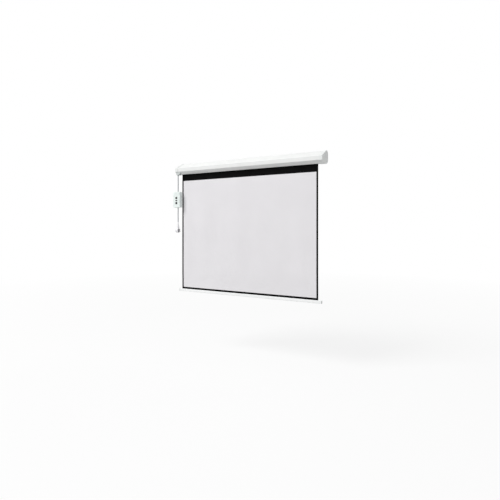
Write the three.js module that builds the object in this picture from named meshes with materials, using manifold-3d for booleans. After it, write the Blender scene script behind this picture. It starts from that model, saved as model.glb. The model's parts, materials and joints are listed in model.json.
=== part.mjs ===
// A motorized projector screen for a wall, in millimetres. X runs along the case to the viewer's right, Y
// runs into the wall and Z is up. The origin is on the case's flat back, where it meets the wall, halfway along
// the case and level with the roller. The screen is modelled rolled fully out, with its switch box and plug hanging from the left end.
import * as THREE from "three";
import { mergeVertices } from "three/addons/utils/BufferGeometryUtils.js";
import Module from "manifold-3d";

const wasm = await Module();
wasm.setup();

// Fits and cuts: the clearance between pieces that touch, and how far a cut runs past a face
const fit_gap = 0.3;
const cut_overrun = 4;

// Counts of flats: around a large, a small and a screw-sized full turn, and in half of a rounded corner
const round_steps = 28;
const small_round_steps = 16;
const screw_round_steps = 10;
const corner_steps = 2;

// The most of an edge that its two rounded corners may take up
const corner_room_share = 0.96;

// Screen cloth, its white picture area and the black borders printed round it
const picture_width = 1219;
const picture_height = 914;
const side_border = 14;
const top_border = 53;
const bottom_border = 15.5;
const cloth_thickness = 0.6;
const border_thickness = 0.3;

// Case: a bent sheet profile with a flat front, a slope above it, a slope below it and a slot underneath
const case_depth = 117;
const case_rise = 49.5;
const case_drop = 53.5;
const case_wall = 1.5;
const front_face_height = 32;
const lower_slope_rise = 25;
const lower_slope_run = 34;
const upper_slope_run = 84;
const case_back_rise = 13;
const back_top_radius = 30;
const back_bottom_radius = 34;
const front_lower_radius = 4;
const front_upper_radius = 6;
const top_corner_radius = 8;
const slot_corner_radius = 3;
const slot_width = 12;
const slot_lip_height = 6;

// End caps: how far they reach past the cloth, and their plate, sleeve and rounded outer edge
const cap_overhang = 47;
const cap_wall = 1.7;
const cap_plate = 3;
const cap_sleeve = 24;
const cap_edge_radius = 2.5;
const cap_back_relief = 16;
const cap_panel_inset = 8;
const cap_panel_depth = 0.8;

// Pan-head screws through each cap's bosses into the bracket behind it
const cap_boss_radius = 5;
const cap_screw_depth = 24;
const cap_screw_rise = 33;
const cap_screw_radius = 2;
const cap_screw_head_radius = 3.6;
const cap_screw_head_height = 2.2;
const cap_screw_tip = 3;
const cross_slot_width = 1;
const cross_slot_depth = 1.1;

// Steel brackets inside the case ends, with the keyholes that hang the screen on the wall
const bracket_setback = 10;
const bracket_thickness = 2.5;
const bracket_front_reach = 27;
const flange_length = 44;
const flange_rise = 18.5;
const flange_drop = 10;
const keyhole_setback = 22;
const keyhole_height = 0;
const keyhole_head_radius = 5;
const keyhole_slot_width = 5.4;
const keyhole_rise = 12;

// Roller tube and the cloth still wound on it
const roller_height = 0;
const roller_radius = 22;
const roller_wall = 1;
const roller_end_gap = 0.8;
const wrap_turns = 1.5;

// Tubular motor inside the left end of the roller
const motor_radius = 17.5;
const motor_length = 420;
const motor_head_radius = 22;
const motor_head_length = 15;
const motor_head_edge = 2;
const motor_stub_side = 10;
const motor_stub_proud = 3;
const motor_clip_radius = 9;
const motor_clip_thickness = 1.2;
const crown_length = 14;
const shaft_radius = 6;
const shaft_length = 24;
const wheel_length = 16;
const wheel_hub_wall = 4;
const wheel_rim_wall = 3;
const wheel_web = 4;

// Idler at the right end of the roller
const idler_room = 14;
const idler_plug_length = 28;
const idler_flange = 3;
const idler_hub_wall = 4;
const idler_rim_wall = 3;
const idler_web = 6;
const idler_pin_radius = 5;
const idler_pin_end = 2;
const bush_wall = 3;
const bush_flange = 2.5;
const bush_flange_wall = 6;

// Weight bar in the hem of the cloth
const bar_overhang = 28;
const bar_depth = 11;
const bar_height = 22;
const bar_wall = 1.2;
const bar_corner_radius = 3.5;
const bar_groove_width = 2.6;
const bar_groove_depth = 6.6;
const bar_cap_length = 3;
const bar_cap_lip = 0.6;
const bar_tongue_length = 10;
const hem_rod_radius = 2.4;
const ballast_radius = 2.6;

// Mains cord, and the moulded gland under a lug of the left end cap
const cord_radius = 3.5;
const cord_sides = 10;
const cord_setback = 21.5;
const cord_front_setback = 13;
const gland_lug_left = 11;
const gland_lug_right = 16;
const gland_lug_reach = 39;
const gland_lug_depth = 20;
const gland_lug_corner = 4;
const gland_neck_radius = 4.7;
const gland_neck_proud = 1.6;
const gland_flange_radius = 10;
const gland_flange_height = 2.5;
const gland_taper_height = 4.1;
const gland_top_radius = 9.6;
const gland_tip_radius = 8.4;
const gland_rib_count = 2;
const gland_rib_depth = 0.6;
const lead_radius = 3;
const lead_boss_radius = 5;
const lead_boss_height = 3;
const lead_bend = 18;
const lead_sides = 8;
const lead_steps = 12;

// Switch box on the cord: a back box and a lid that meet at a seam
const box_width = 73;
const box_height = 134;
const box_wall = 2.2;
const box_corner_radius = 7;
const box_edge_radius = 2;
const box_base_depth = 24.4;
const box_seam = 0.6;
const box_lid_depth = 9;
const box_cord_offset = 4.6;
const box_cord_depth = 16;
const box_rim_wall = 1.2;
const box_rim_height = 3;
const box_post_radius = 4.5;
const box_post_inset = 6.2;
const box_screw_radius = 1.5;
const box_screw_head_radius = 2.8;
const box_screw_head_height = 2.2;
const box_screw_sink = 0.6;
const box_screw_end = 4;
const box_gland_radius = 6.5;
const box_gland_height = 9;
const box_gland_tip_radius = 4.6;
const box_gland_neck = 5;
const box_gland_neck_wall = 1.2;

// Circuit board in the switch box
const board_width = 58;
const board_height = 100;
const board_thickness = 1.6;
const board_depth = 15;
const standoff_radius = 3;
const standoff_inset = 5;
const standoff_pin_radius = 1.2;
const standoff_pin_length = 3.5;
const relay_width = 16;
const relay_height = 19;
const relay_depth = 12;
const relay_rise = 38.5;
const relay_spacing = 24;
const terminal_width = 34;
const terminal_height = 9;
const terminal_depth = 10;
const terminal_rise = -44;
const terminal_hole_radius = 1.6;
const terminal_hole_count = 4;

// Up, stop and down buttons and the small switches behind them
const button_spacing = 22;
const button_rise = 15.5;
const button_travel = 1.5;
const button_proud = 2.4;
const button_edge_radius = 0.8;
const button_flange_wall = 1.6;
const button_flange_thickness = 1.5;
const button_stem_radius = 2.5;
const arrow_button_side = 19;
const arrow_button_corner = 5;
const stop_button_width = 19;
const stop_button_height = 9;
const stop_button_corner = 3;
const bezel_wall = 2;
const bezel_height = 0.8;
const switch_side = 6;
const switch_depth = 3.5;
const plunger_radius = 1.7;
const plunger_height = 1.5;

// Right-angle plug at the end of the cord
const relief_length = 34;
const relief_top_radius = 4.6;
const relief_bottom_radius = 7;
const relief_rib_count = 5;
const relief_rib_depth = 0.8;
const plug_radius = 19;
const plug_face_setback = 8;
const plug_dome_setback = 30;
const plug_dome_run = 22;
const plug_edge = 1.5;
const plug_neck_height = 40.3;
const plug_neck_top_radius = 8;
const plug_neck_bottom_radius = 13;
const insert_width = 16;
const insert_height = 28;
const insert_corner_radius = 5;
const insert_depth = 3;
const insert_proud = 0.4;
const pin_radius = 2.4;
const pin_spacing = 19;
const pin_length = 19;
const pin_root = 8;

// Places of the case, the slot and the cloth
const cloth_width = picture_width + 2 * side_border;
const visible_drop = top_border + picture_height + bottom_border;
const case_bottom = -case_drop;
const case_top = case_rise;
const case_front = -case_depth;
const front_face_bottom = case_bottom + lower_slope_rise;
const front_face_top = front_face_bottom + front_face_height;
const slope_top_y = case_front + upper_slope_run;
const slot_front = case_front + lower_slope_run;
const slot_back = slot_front + slot_width;
const cloth_y = (slot_front + slot_back) / 2;
const cloth_front = cloth_y - cloth_thickness / 2;
const cloth_back = cloth_y + cloth_thickness / 2;
const border_front = cloth_front - border_thickness;

// Places of the end caps and brackets, as distances from the middle
const cap_lip = cap_wall + fit_gap;
const cap_bottom = case_bottom - cap_lip;
const cap_top = case_top + cap_lip;
const cap_outer_x = cloth_width / 2 + cap_overhang;
const cap_plate_x = cap_outer_x - cap_plate;
const cap_inner_x = cap_plate_x - cap_sleeve;
const case_end_x = cap_plate_x - fit_gap;
const bracket_outer_x = case_end_x - bracket_setback;
const bracket_inner_x = bracket_outer_x - bracket_thickness;
const bracket_back_y = -case_wall - fit_gap;
const cap_screw_seat_x = cap_outer_x - cap_panel_depth - cap_screw_head_height;
const keyhole_x = bracket_inner_x - keyhole_setback;

// Places of the roller, whose outermost turn of cloth comes off its front in line with the hanging cloth
const wrap_pitch = cloth_thickness + fit_gap;
const wrap_outer_radius = roller_radius + wrap_turns * wrap_pitch + wrap_pitch;
const roller_y = cloth_front + wrap_outer_radius;
const roller_bore = roller_radius - roller_wall;
const motor_head_outer_x = -bracket_inner_x + fit_gap;
const motor_head_inner_x = motor_head_outer_x + motor_head_length;
const motor_start_x = motor_head_inner_x + fit_gap;
const motor_end_x = motor_start_x + motor_length;
const roller_left_x = motor_head_inner_x + roller_end_gap;
const roller_right_x = bracket_inner_x - idler_room;

// Places of the cord, from the gland down to the plug
const cord_x = -cap_outer_x + cord_setback;
const cord_y = case_front + cord_front_setback;
const gland_tip_z = cap_bottom - fit_gap - gland_flange_height - gland_taper_height;

// Finishes: colour, roughness and metalness
const finishes = {
  white_paint: [0xf0f1f0, 0.4, 0],
  cap_plastic: [0xeceeed, 0.5, 0],
  picture_cloth: [0xe2e1e3, 0.9, 0],
  black_cloth: [0x161616, 0.9, 0],
  white_bar: [0xf3f4f4, 0.35, 0],
  grey_plastic: [0xc4c9c8, 0.5, 0],
  box_plastic: [0xe9f1ef, 0.45, 0],
  button_plastic: [0x2e2f31, 0.5, 0],
  cord_sheath: [0xbdc1c5, 0.6, 0],
  plug_plastic: [0xf1f1f3, 0.4, 0],
  dark_insert: [0x4b4852, 0.6, 0],
  zinc_steel: [0xb9bcc0, 0.35, 1],
  roller_aluminium: [0xc9cbce, 0.3, 1],
  motor_steel: [0x9a9ca0, 0.4, 1],
  black_plastic: [0x242424, 0.55, 0],
  bush_plastic: [0xdfddd4, 0.5, 0],
  board_green: [0x1f6b3a, 0.6, 0],
  relay_blue: [0x2d5f9e, 0.5, 0],
  terminal_green: [0x3c8f5a, 0.5, 0],
  nickel: [0xcfcfca, 0.25, 1],
};

// Turns a closed geometry into a solid that can be joined and cut.
function solidOf(geometry) {
  const bare = geometry.clone();
  bare.deleteAttribute("normal");
  bare.deleteAttribute("uv");
  const merged = mergeVertices(bare);
  return new wasm.Manifold(
    new wasm.Mesh({
      numProp: 3,
      vertProperties: merged.attributes.position.array,
      triVerts: new Uint32Array(merged.index.array),
    }),
  );
}

// Turns a solid back into a geometry with flat-shaded normals.
function geometryOf(solid) {
  const mesh = solid.getMesh();
  const geometry = new THREE.BufferGeometry();
  geometry.setAttribute("position", new THREE.BufferAttribute(mesh.vertProperties, mesh.numProp));
  geometry.setIndex(new THREE.BufferAttribute(mesh.triVerts, 1));
  const flat = geometry.toNonIndexed();
  flat.computeVertexNormals();
  return flat;
}

// Adds a solid to a group as a named mesh with a material of its own.
function addPiece(group, name, solid, finish) {
  const [color, roughness, metalness] = finishes[finish];
  const mesh = new THREE.Mesh(
    geometryOf(solid),
    new THREE.MeshStandardMaterial({ color, roughness, metalness }),
  );
  mesh.name = name;
  group.add(mesh);
}

// Joins a list of solids.
function joined(solids) {
  return solids.reduce((sum, next) => sum.add(next));
}

// Cuts a list of solids from the first one.
function cutBy(solid, cutters) {
  return cutters.reduce((rest, cutter) => rest.subtract(cutter), solid);
}

// A block between two limits on each axis, given in either order.
function block([x0, x1], [y0, y1], [z0, z1]) {
  const size = [x1 - x0, y1 - y0, z1 - z0].map(Math.abs);
  const geometry = new THREE.BoxGeometry(...size);
  geometry.translate((x0 + x1) / 2, (y0 + y1) / 2, (z0 + z1) / 2);
  return solidOf(geometry);
}

// Lays a geometry whose own axis is Y along X, Y or Z.
function layAlong(axis, geometry) {
  if (axis === "x") geometry.rotateZ(-Math.PI / 2);
  if (axis === "z") geometry.rotateX(Math.PI / 2);
  return geometry;
}

// A round bar along an axis between two places on it, its centre line shifted by an offset.
function rod(axis, radius, [from, to], offset = [0, 0, 0], steps = round_steps) {
  const geometry = new THREE.CylinderGeometry(radius, radius, Math.abs(to - from), steps);
  geometry.translate(0, (from + to) / 2, 0);
  layAlong(axis, geometry).translate(...offset);
  return solidOf(geometry);
}

// A turned piece: [radius, place along the axis] points, from low to high, that end on the axis or close.
function turned(axis, profile, offset = [0, 0, 0], steps = round_steps) {
  const points = profile.map(([radius, along]) => new THREE.Vector2(radius, along));
  const geometry = new THREE.LatheGeometry(points, steps);
  layAlong(axis, geometry).translate(...offset);
  return solidOf(geometry);
}

// Corners of a rounded rectangle as [across, up, radius], counter-clockwise.
function rectangleCorners(width, height, radius) {
  const signs = [[-1, -1], [1, -1], [1, 1], [-1, 1]];
  return signs.map(([across, up]) => [(across * width) / 2, (up * height) / 2, radius]);
}

// The same, with its middle raised to a height.
function raisedRectangle(width, height, radius, z) {
  return rectangleCorners(width, height, radius).map(([across, up, r]) => [across, up + z, r]);
}

// The same corners with every edge moved outwards by its own amount. Edge i runs from corner i to the next.
function movedCorners(corners, amounts) {
  const count = corners.length;
  const edges = corners.map(([u, v], i) => {
    const [next_u, next_v] = corners[(i + 1) % count];
    const direction = new THREE.Vector2(next_u - u, next_v - v).normalize();
    const start = new THREE.Vector2(u + direction.y * amounts[i], v - direction.x * amounts[i]);
    return { start, direction };
  });
  return corners.map(([, , radius], i) => {
    const before = (i + count - 1) % count;
    const { start: a, direction: d } = edges[before];
    const { start: b, direction: e } = edges[i];
    const along = b.clone().sub(a).cross(e) / d.cross(e);
    const grown = radius + Math.max(amounts[before], amounts[i]);
    return [a.x + d.x * along, a.y + d.y * along, radius > 0 ? Math.max(grown, 0) : 0];
  });
}

// The same corners with all edges moved outwards alike.
function offsetCorners(corners, amount) {
  return movedCorners(corners, corners.map(() => amount));
}

// How much of each edge a rounded corner takes up, shared out where two corners would meet.
function cornerReaches(points, corners) {
  const count = corners.length;
  const halves = points.map((point, i) => {
    const before = points[(i + count - 1) % count].clone().sub(point);
    const after = points[(i + 1) % count].clone().sub(point);
    return before.angleTo(after) / 2;
  });
  const wanted = corners.map(([, , radius], i) => radius / Math.tan(halves[i]));
  const reaches = wanted.map((reach, i) => {
    const limits = [i, (i + count - 1) % count].map((edge) => {
      const next = (edge + 1) % count;
      const room = points[edge].distanceTo(points[next]);
      return Math.min(1, (room * corner_room_share) / (wanted[edge] + wanted[next] || 1));
    });
    return reach * Math.min(...limits);
  });
  return { halves, reaches };
}

// The closed outline through counter-clockwise corners, each rounded by an arc.
function roundedShape(corners) {
  const count = corners.length;
  const points = corners.map(([u, v]) => new THREE.Vector2(u, v));
  const { halves, reaches } = cornerReaches(points, corners);
  const shape = new THREE.Shape();
  points.forEach((point, i) => {
    if (reaches[i] <= 0) {
      if (i === 0) shape.moveTo(point.x, point.y);
      else shape.lineTo(point.x, point.y);
      return;
    }
    const before = points[(i + count - 1) % count].clone().sub(point).normalize();
    const after = points[(i + 1) % count].clone().sub(point).normalize();
    const middle = before.clone().add(after).normalize();
    const centre = point.clone().addScaledVector(middle, reaches[i] / Math.cos(halves[i]));
    const from = point.clone().addScaledVector(before, reaches[i]).sub(centre);
    const to = point.clone().addScaledVector(after, reaches[i]).sub(centre);
    shape.absarc(centre.x, centre.y, from.length(), from.angle(), to.angle(), false);
  });
  return shape;
}

// Extrudes a shape to a length, with both end edges rounded by a radius.
function extruded(shape, length, edge_radius) {
  return new THREE.ExtrudeGeometry(shape, {
    depth: length - 2 * edge_radius,
    curveSegments: corner_steps,
    bevelEnabled: edge_radius > 0,
    bevelThickness: edge_radius,
    bevelSize: edge_radius,
    bevelOffset: -edge_radius,
    bevelSegments: corner_steps,
  }).translate(0, 0, edge_radius);
}

// A slab of constant section along X: its corners are given in Y and Z.
function slabX(corners, [x0, x1], edge_radius = 0) {
  const geometry = extruded(roundedShape(corners), Math.abs(x1 - x0), edge_radius);
  const turn = new THREE.Matrix4().makeBasis(
    new THREE.Vector3(0, 1, 0),
    new THREE.Vector3(0, 0, 1),
    new THREE.Vector3(1, 0, 0),
  );
  geometry.applyMatrix4(turn).translate(Math.min(x0, x1), 0, 0);
  return solidOf(geometry);
}

// A slab of constant section along Y: its corners are given in X and Z.
function slabY(corners, [y0, y1], edge_radius = 0) {
  const geometry = extruded(roundedShape(corners), Math.abs(y1 - y0), edge_radius);
  const turn = new THREE.Matrix4().makeBasis(
    new THREE.Vector3(1, 0, 0),
    new THREE.Vector3(0, 0, 1),
    new THREE.Vector3(0, -1, 0),
  );
  geometry.applyMatrix4(turn).translate(0, Math.max(y0, y1), 0);
  return solidOf(geometry);
}

// A round tube along a curve.
function tubeAlong(curve, radius, sides, steps) {
  const section = new THREE.Shape();
  for (let i = 0; i < sides; i += 1) {
    const angle = (2 * Math.PI * i) / sides;
    const place = [radius * Math.cos(angle), radius * Math.sin(angle)];
    if (i === 0) section.moveTo(...place);
    else section.lineTo(...place);
  }
  return solidOf(new THREE.ExtrudeGeometry(section, { extrudePath: curve, steps, bevelEnabled: false }));
}

// Profile points of a tapered sleeve with ribs, from its lower radius and place to its upper ones.
function ribbedTaper([radius0, z0], [radius1, z1], ribs, rib_depth) {
  const points = [];
  const halves = 2 * ribs;
  for (let i = 0; i <= halves; i += 1) {
    const share = i / halves;
    const radius = radius0 + (radius1 - radius0) * share;
    const place = z0 + (z1 - z0) * share;
    const waist = i % 2 === 1 ? rib_depth : 0;
    points.push([radius - waist, place]);
  }
  return points;
}

// Case profile in Y and Z, starting at the front lip of the slot: bottom, back, top, upper slope, front and
// lower slope are its edges in that order.
const case_corners = [
  [slot_front, case_bottom, slot_corner_radius],
  [0, case_bottom + case_back_rise, back_bottom_radius],
  [0, case_top, back_top_radius],
  [slope_top_y, case_top, top_corner_radius],
  [case_front, front_face_top, front_upper_radius],
  [case_front, front_face_bottom, front_lower_radius],
];
const cap_corners = movedCorners(case_corners, [cap_lip, 0, cap_lip, cap_lip, cap_lip, cap_lip]);

// Height of the case's lower slope at a place in Y.
function lowerSlopeZ(y) {
  return case_bottom + (slot_front - y) * (lower_slope_rise / lower_slope_run);
}

// Height of the case's bottom at a place in Y behind the slot's front lip.
function bottomZ(y) {
  return case_bottom + (y - slot_front) * (case_back_rise / -slot_front);
}

// The cut for a keyhole, through the case's back and the bracket's flange: a round hole for the screw's head
// and a narrower slot above it.
function keyholeCut(x) {
  const depths = [-case_wall - bracket_thickness - cut_overrun, cut_overrun];
  const slot_radius = keyhole_slot_width / 2;
  const slot_top = keyhole_height + keyhole_rise;
  return joined([
    rod("y", keyhole_head_radius, depths, [x, 0, keyhole_height], small_round_steps),
    rod("y", slot_radius, depths, [x, 0, slot_top], small_round_steps),
    block([x - slot_radius, x + slot_radius], depths, [keyhole_height, slot_top]),
  ]);
}

// The places of the two screws in an end cap, as heights above the middle of the case.
function capScrewHeights() {
  return [cap_screw_rise, -cap_screw_rise];
}

// Bars along X at the places of one end's cap screws.
function barsAtCapScrews(radius, [from, to], steps) {
  return capScrewHeights().map((z) => rod("x", radius, [from, to], [0, -cap_screw_depth, z], steps));
}

// The hole for the gland's neck, through the cap's lug and the case's lower slope.
const gland_neck_top = lowerSlopeZ(cord_y - gland_neck_radius - fit_gap) + 2 * case_wall + gland_neck_proud;
function glandHole() {
  const heights = [cap_bottom - cut_overrun, gland_neck_top + cut_overrun];
  return rod("z", gland_neck_radius + fit_gap, heights, [cord_x, cord_y, 0], small_round_steps);
}

function caseShell() {
  const full = [-case_end_x, case_end_x];
  const past_ends = [-case_end_x - cut_overrun, case_end_x + cut_overrun];
  const lip_top = case_bottom + slot_lip_height;
  const walls = slabX(case_corners, full).subtract(
    slabX(offsetCorners(case_corners, -case_wall), past_ends),
  );
  const lips = [
    block(full, [slot_front - case_wall, slot_front], [case_bottom + case_wall, lip_top]),
    block(full, [slot_back, slot_back + case_wall], [bottomZ(slot_back) + case_wall / 2, lip_top]),
  ];
  const slot = block(past_ends, [slot_front, slot_back], [case_bottom - cut_overrun, lip_top]);
  return cutBy(joined([walls, ...lips]), [
    slot,
    keyholeCut(-keyhole_x),
    keyholeCut(keyhole_x),
    glandHole(),
  ]);
}

// The lug that the cord's gland hangs from. It widens towards the case and reaches past the cap's sleeve.
function glandLug() {
  const right_end = cord_x + gland_lug_reach;
  const corners = [
    [cord_x - gland_lug_left, cap_bottom, gland_lug_corner],
    [cord_x + gland_lug_right, cap_bottom, gland_lug_corner],
    [right_end, front_face_bottom, 0],
    [-cap_outer_x + cap_edge_radius, front_face_bottom, 0],
  ];
  const depths = [cord_y - gland_lug_depth / 2, cord_y + gland_lug_depth / 2];
  const case_span = [-cap_plate_x, right_end + cut_overrun];
  return slabY(corners, depths).subtract(slabX(offsetCorners(case_corners, fit_gap), case_span));
}

// An end cap: a plate over the case's end, a sleeve round its top, front and bottom, and two bosses for the
// screws. The left one carries the lug for the cord's gland.
function endCap(side) {
  const inner_end = side * cap_inner_x;
  const past_inner = side * (cap_inner_x - cut_overrun - 2 * cap_edge_radius);
  const blank = slabX(cap_corners, [past_inner, side * cap_outer_x], cap_edge_radius);
  const outline = offsetCorners(cap_corners, -cap_panel_inset);
  const past_outer = side * (cap_outer_x + cut_overrun);
  const all_heights = [cap_bottom - cut_overrun, cap_top + cut_overrun];
  const all_depths = [case_front - cap_lip - cut_overrun, cut_overrun];
  const sleeve_span = [side * cap_plate_x, past_inner];
  const shell = cutBy(blank, [
    block([inner_end, side * (cap_inner_x - 2 * cut_overrun - 2 * cap_edge_radius)], all_depths, all_heights),
    slabX(offsetCorners(case_corners, fit_gap), sleeve_span),
    block(sleeve_span, [-cap_back_relief, cut_overrun], all_heights),
    slabX(outline, [side * (cap_outer_x - cap_panel_depth), past_outer]),
  ]);
  const boss_span = [side * (cap_screw_seat_x + cap_panel_depth), side * (bracket_outer_x + fit_gap)];
  const bosses = barsAtCapScrews(cap_boss_radius, boss_span, small_round_steps);
  const through = [side * (bracket_outer_x - cut_overrun), past_outer];
  const whole = joined([shell, ...bosses, ...(side < 0 ? [glandLug()] : [])]);
  return cutBy(whole, [
    ...(side < 0 ? [glandHole()] : []),
    ...barsAtCapScrews(cap_screw_radius + fit_gap, through, screw_round_steps),
    ...barsAtCapScrews(
      cap_screw_head_radius + fit_gap,
      [side * cap_screw_seat_x, past_outer],
      screw_round_steps,
    ),
  ]);
}

// A bracket: a plate across the case, and a flange with a keyhole on its back wall.
function bracket(side, shaft_hole) {
  const plate_span = [side * bracket_inner_x, side * bracket_outer_x];
  const plate = slabX(offsetCorners(case_corners, -case_wall - fit_gap), plate_span);
  const front_waste = block(
    [side * (bracket_inner_x - cut_overrun), side * (bracket_outer_x + cut_overrun)],
    [case_front - cut_overrun, roller_y - bracket_front_reach],
    [case_bottom - cut_overrun, case_top + cut_overrun],
  );
  const flange = block(
    [side * bracket_outer_x, side * (bracket_inner_x - flange_length)],
    [bracket_back_y - bracket_thickness, bracket_back_y],
    [-flange_drop, flange_rise],
  );
  const lip_room = block(
    [side * (bracket_inner_x - cut_overrun), side * (bracket_outer_x + cut_overrun)],
    [slot_front - case_wall - fit_gap, slot_back + case_wall + fit_gap],
    [case_bottom, case_bottom + slot_lip_height + fit_gap],
  );
  const through = [side * (bracket_inner_x - cut_overrun), side * (bracket_outer_x + cut_overrun)];
  return cutBy(joined([plate.subtract(front_waste), flange]), [
    lip_room,
    shaft_hole,
    keyholeCut(side * keyhole_x),
    ...barsAtCapScrews(cap_screw_radius + fit_gap, through, screw_round_steps),
  ]);
}

function motorBracket() {
  const half = motor_stub_side / 2 + fit_gap;
  const square_hole = block(
    [-bracket_inner_x + cut_overrun, -bracket_outer_x - cut_overrun],
    [roller_y - half, roller_y + half],
    [roller_height - half, roller_height + half],
  );
  return bracket(-1, square_hole);
}

function idlerBracket() {
  const radius = idler_pin_radius + fit_gap + bush_wall + fit_gap;
  const span = [bracket_inner_x - cut_overrun, bracket_outer_x + cut_overrun];
  return bracket(1, rod("x", radius, span, [0, roller_y, roller_height]));
}

// A pan-head screw that points down from the origin, with a cross in its head.
function capScrew() {
  const shank = cap_screw_seat_x - bracket_inner_x + cap_screw_tip;
  const edge = cap_screw_head_height / 2;
  const body = turned(
    "z",
    [
      [0, -shank],
      [cap_screw_radius / 2, -shank],
      [cap_screw_radius, -shank + cap_screw_radius],
      [cap_screw_radius, 0],
      [cap_screw_head_radius, 0],
      [cap_screw_head_radius, edge],
      [cap_screw_head_radius - edge, cap_screw_head_height],
      [0, cap_screw_head_height],
    ],
    [0, 0, 0],
    screw_round_steps,
  );
  const half = cross_slot_width / 2;
  const arm = cap_screw_head_radius / 2;
  const heights = [cap_screw_head_height - cross_slot_depth, cap_screw_head_height + cut_overrun];
  return cutBy(body, [
    block([-arm, arm], [-half, half], heights),
    block([-half, half], [-arm, arm], heights),
  ]);
}

// The motor's head, with the square stub that the bracket holds and the boss that its lead enters.
const lead_x = (motor_head_outer_x + motor_head_inner_x) / 2;
function motorHead() {
  const body = turned("x", [
    [0, motor_head_outer_x],
    [motor_head_radius - motor_head_edge, motor_head_outer_x],
    [motor_head_radius, motor_head_outer_x + motor_head_edge],
    [motor_head_radius, motor_head_inner_x],
    [0, motor_head_inner_x],
  ]);
  const half = motor_stub_side / 2;
  const stub = block(
    [-bracket_outer_x - motor_stub_proud, motor_head_outer_x + motor_head_edge],
    [-half, half],
    [-half, half],
  );
  const boss_depths = [-motor_head_radius - lead_boss_height, -motor_head_radius + motor_head_edge];
  const boss = rod("y", lead_boss_radius, boss_depths, [lead_x, 0, 0], small_round_steps);
  return joined([body, stub, boss]);
}

function motorClip() {
  const half = motor_stub_side / 2 + fit_gap;
  const near = -bracket_outer_x - fit_gap;
  const span = [near - motor_clip_thickness, near];
  const hole = block([span[0] - cut_overrun, span[1] + cut_overrun], [-half, half], [-half, half]);
  return rod("x", motor_clip_radius, span).subtract(hole);
}

// A plain ring on the roller's axis.
function ring(inner, outer, [x0, x1]) {
  return turned("x", [[inner, x0], [outer, x0], [outer, x1], [inner, x1], [inner, x0]]);
}

function driveWheel() {
  const bore = shaft_radius + fit_gap;
  const rim = roller_bore - fit_gap;
  const start = motor_end_x + 2 * fit_gap + (shaft_length - wheel_length) / 2;
  const end = start + wheel_length;
  const web_start = (start + end - wheel_web) / 2;
  const web_end = web_start + wheel_web;
  return turned("x", [
    [bore, start],
    [bore + wheel_hub_wall, start],
    [bore + wheel_hub_wall, web_start],
    [rim - wheel_rim_wall, web_start],
    [rim - wheel_rim_wall, start],
    [rim, start],
    [rim, end],
    [rim - wheel_rim_wall, end],
    [rim - wheel_rim_wall, web_end],
    [bore + wheel_hub_wall, web_end],
    [bore + wheel_hub_wall, end],
    [bore, end],
    [bore, start],
  ]);
}

function idlerPlug() {
  const bore = idler_pin_radius + fit_gap;
  const rim = roller_bore - fit_gap;
  const start = roller_right_x - idler_plug_length;
  const flange_start = roller_right_x + fit_gap;
  const flange_end = flange_start + idler_flange;
  const web_start = flange_end - idler_web;
  return turned("x", [
    [bore, start],
    [bore + idler_hub_wall, start],
    [bore + idler_hub_wall, web_start],
    [rim - idler_rim_wall, web_start],
    [rim - idler_rim_wall, start],
    [rim, start],
    [rim, flange_start],
    [roller_radius, flange_start],
    [roller_radius, flange_end],
    [bore, flange_end],
    [bore, start],
  ]);
}

function idlerBush() {
  const bore = idler_pin_radius + fit_gap;
  const flange_start = bracket_inner_x - fit_gap - bush_flange;
  const flange_end = bracket_inner_x - fit_gap;
  const end = bracket_outer_x + fit_gap;
  return turned("x", [
    [bore, flange_start],
    [bore + bush_flange_wall, flange_start],
    [bore + bush_flange_wall, flange_end],
    [bore + bush_wall, flange_end],
    [bore + bush_wall, end],
    [bore, end],
    [bore, flange_start],
  ]);
}

// The cloth left on the roller: a spiral that starts at the front, goes up over the top and winds inwards.
function rollerWrap() {
  const steps = Math.round(wrap_turns * round_steps);
  const place = (step, inset) => {
    const turns = step / round_steps;
    const radius = wrap_outer_radius - wrap_pitch * turns - inset;
    const angle = 2 * Math.PI * turns;
    return [-radius * Math.cos(angle), radius * Math.sin(angle), 0];
  };
  const outer = Array.from({ length: steps + 1 }, (_, step) => place(step, 0));
  const inner = Array.from({ length: steps + 1 }, (_, step) => place(step, cloth_thickness)).reverse();
  const half = cloth_width / 2;
  return slabX([...inner.reverse(), ...outer.reverse()], [-half, half]);
}

// The weight bar: a profile with a groove along its top for the hem, and a hollow below it for the ballast.
const bar_y = (border_front + cloth_back) / 2;
const bar_top = case_bottom - visible_drop;
const bar_end_x = cloth_width / 2 + bar_overhang;
const bar_profile_x = bar_end_x - bar_cap_length - fit_gap;
const hem_rod_z = -bar_groove_depth;
const chamber_radius = hem_rod_radius + fit_gap;
const hollow_width = bar_depth - 2 * bar_wall;
const hollow_top = hem_rod_z - chamber_radius - bar_wall;
const hollow_bottom = -bar_height + bar_wall;
const hollow_height = hollow_top - hollow_bottom;
const hollow_z = (hollow_top + hollow_bottom) / 2;
const cloth_bottom = bar_top + hem_rod_z + hem_rod_radius + fit_gap;
const cloth_top = roller_height - fit_gap;

function weightBar() {
  const full = [-bar_profile_x, bar_profile_x];
  const past = [-bar_profile_x - cut_overrun, bar_profile_x + cut_overrun];
  const half_groove = bar_groove_width / 2;
  return cutBy(slabX(raisedRectangle(bar_depth, bar_height, bar_corner_radius, -bar_height / 2), full), [
    block(past, [-half_groove, half_groove], [hem_rod_z, cut_overrun]),
    rod("x", chamber_radius, past, [0, 0, hem_rod_z], small_round_steps),
    slabX(raisedRectangle(hollow_width, hollow_height, bar_wall, hollow_z), past),
  ]);
}

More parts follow.
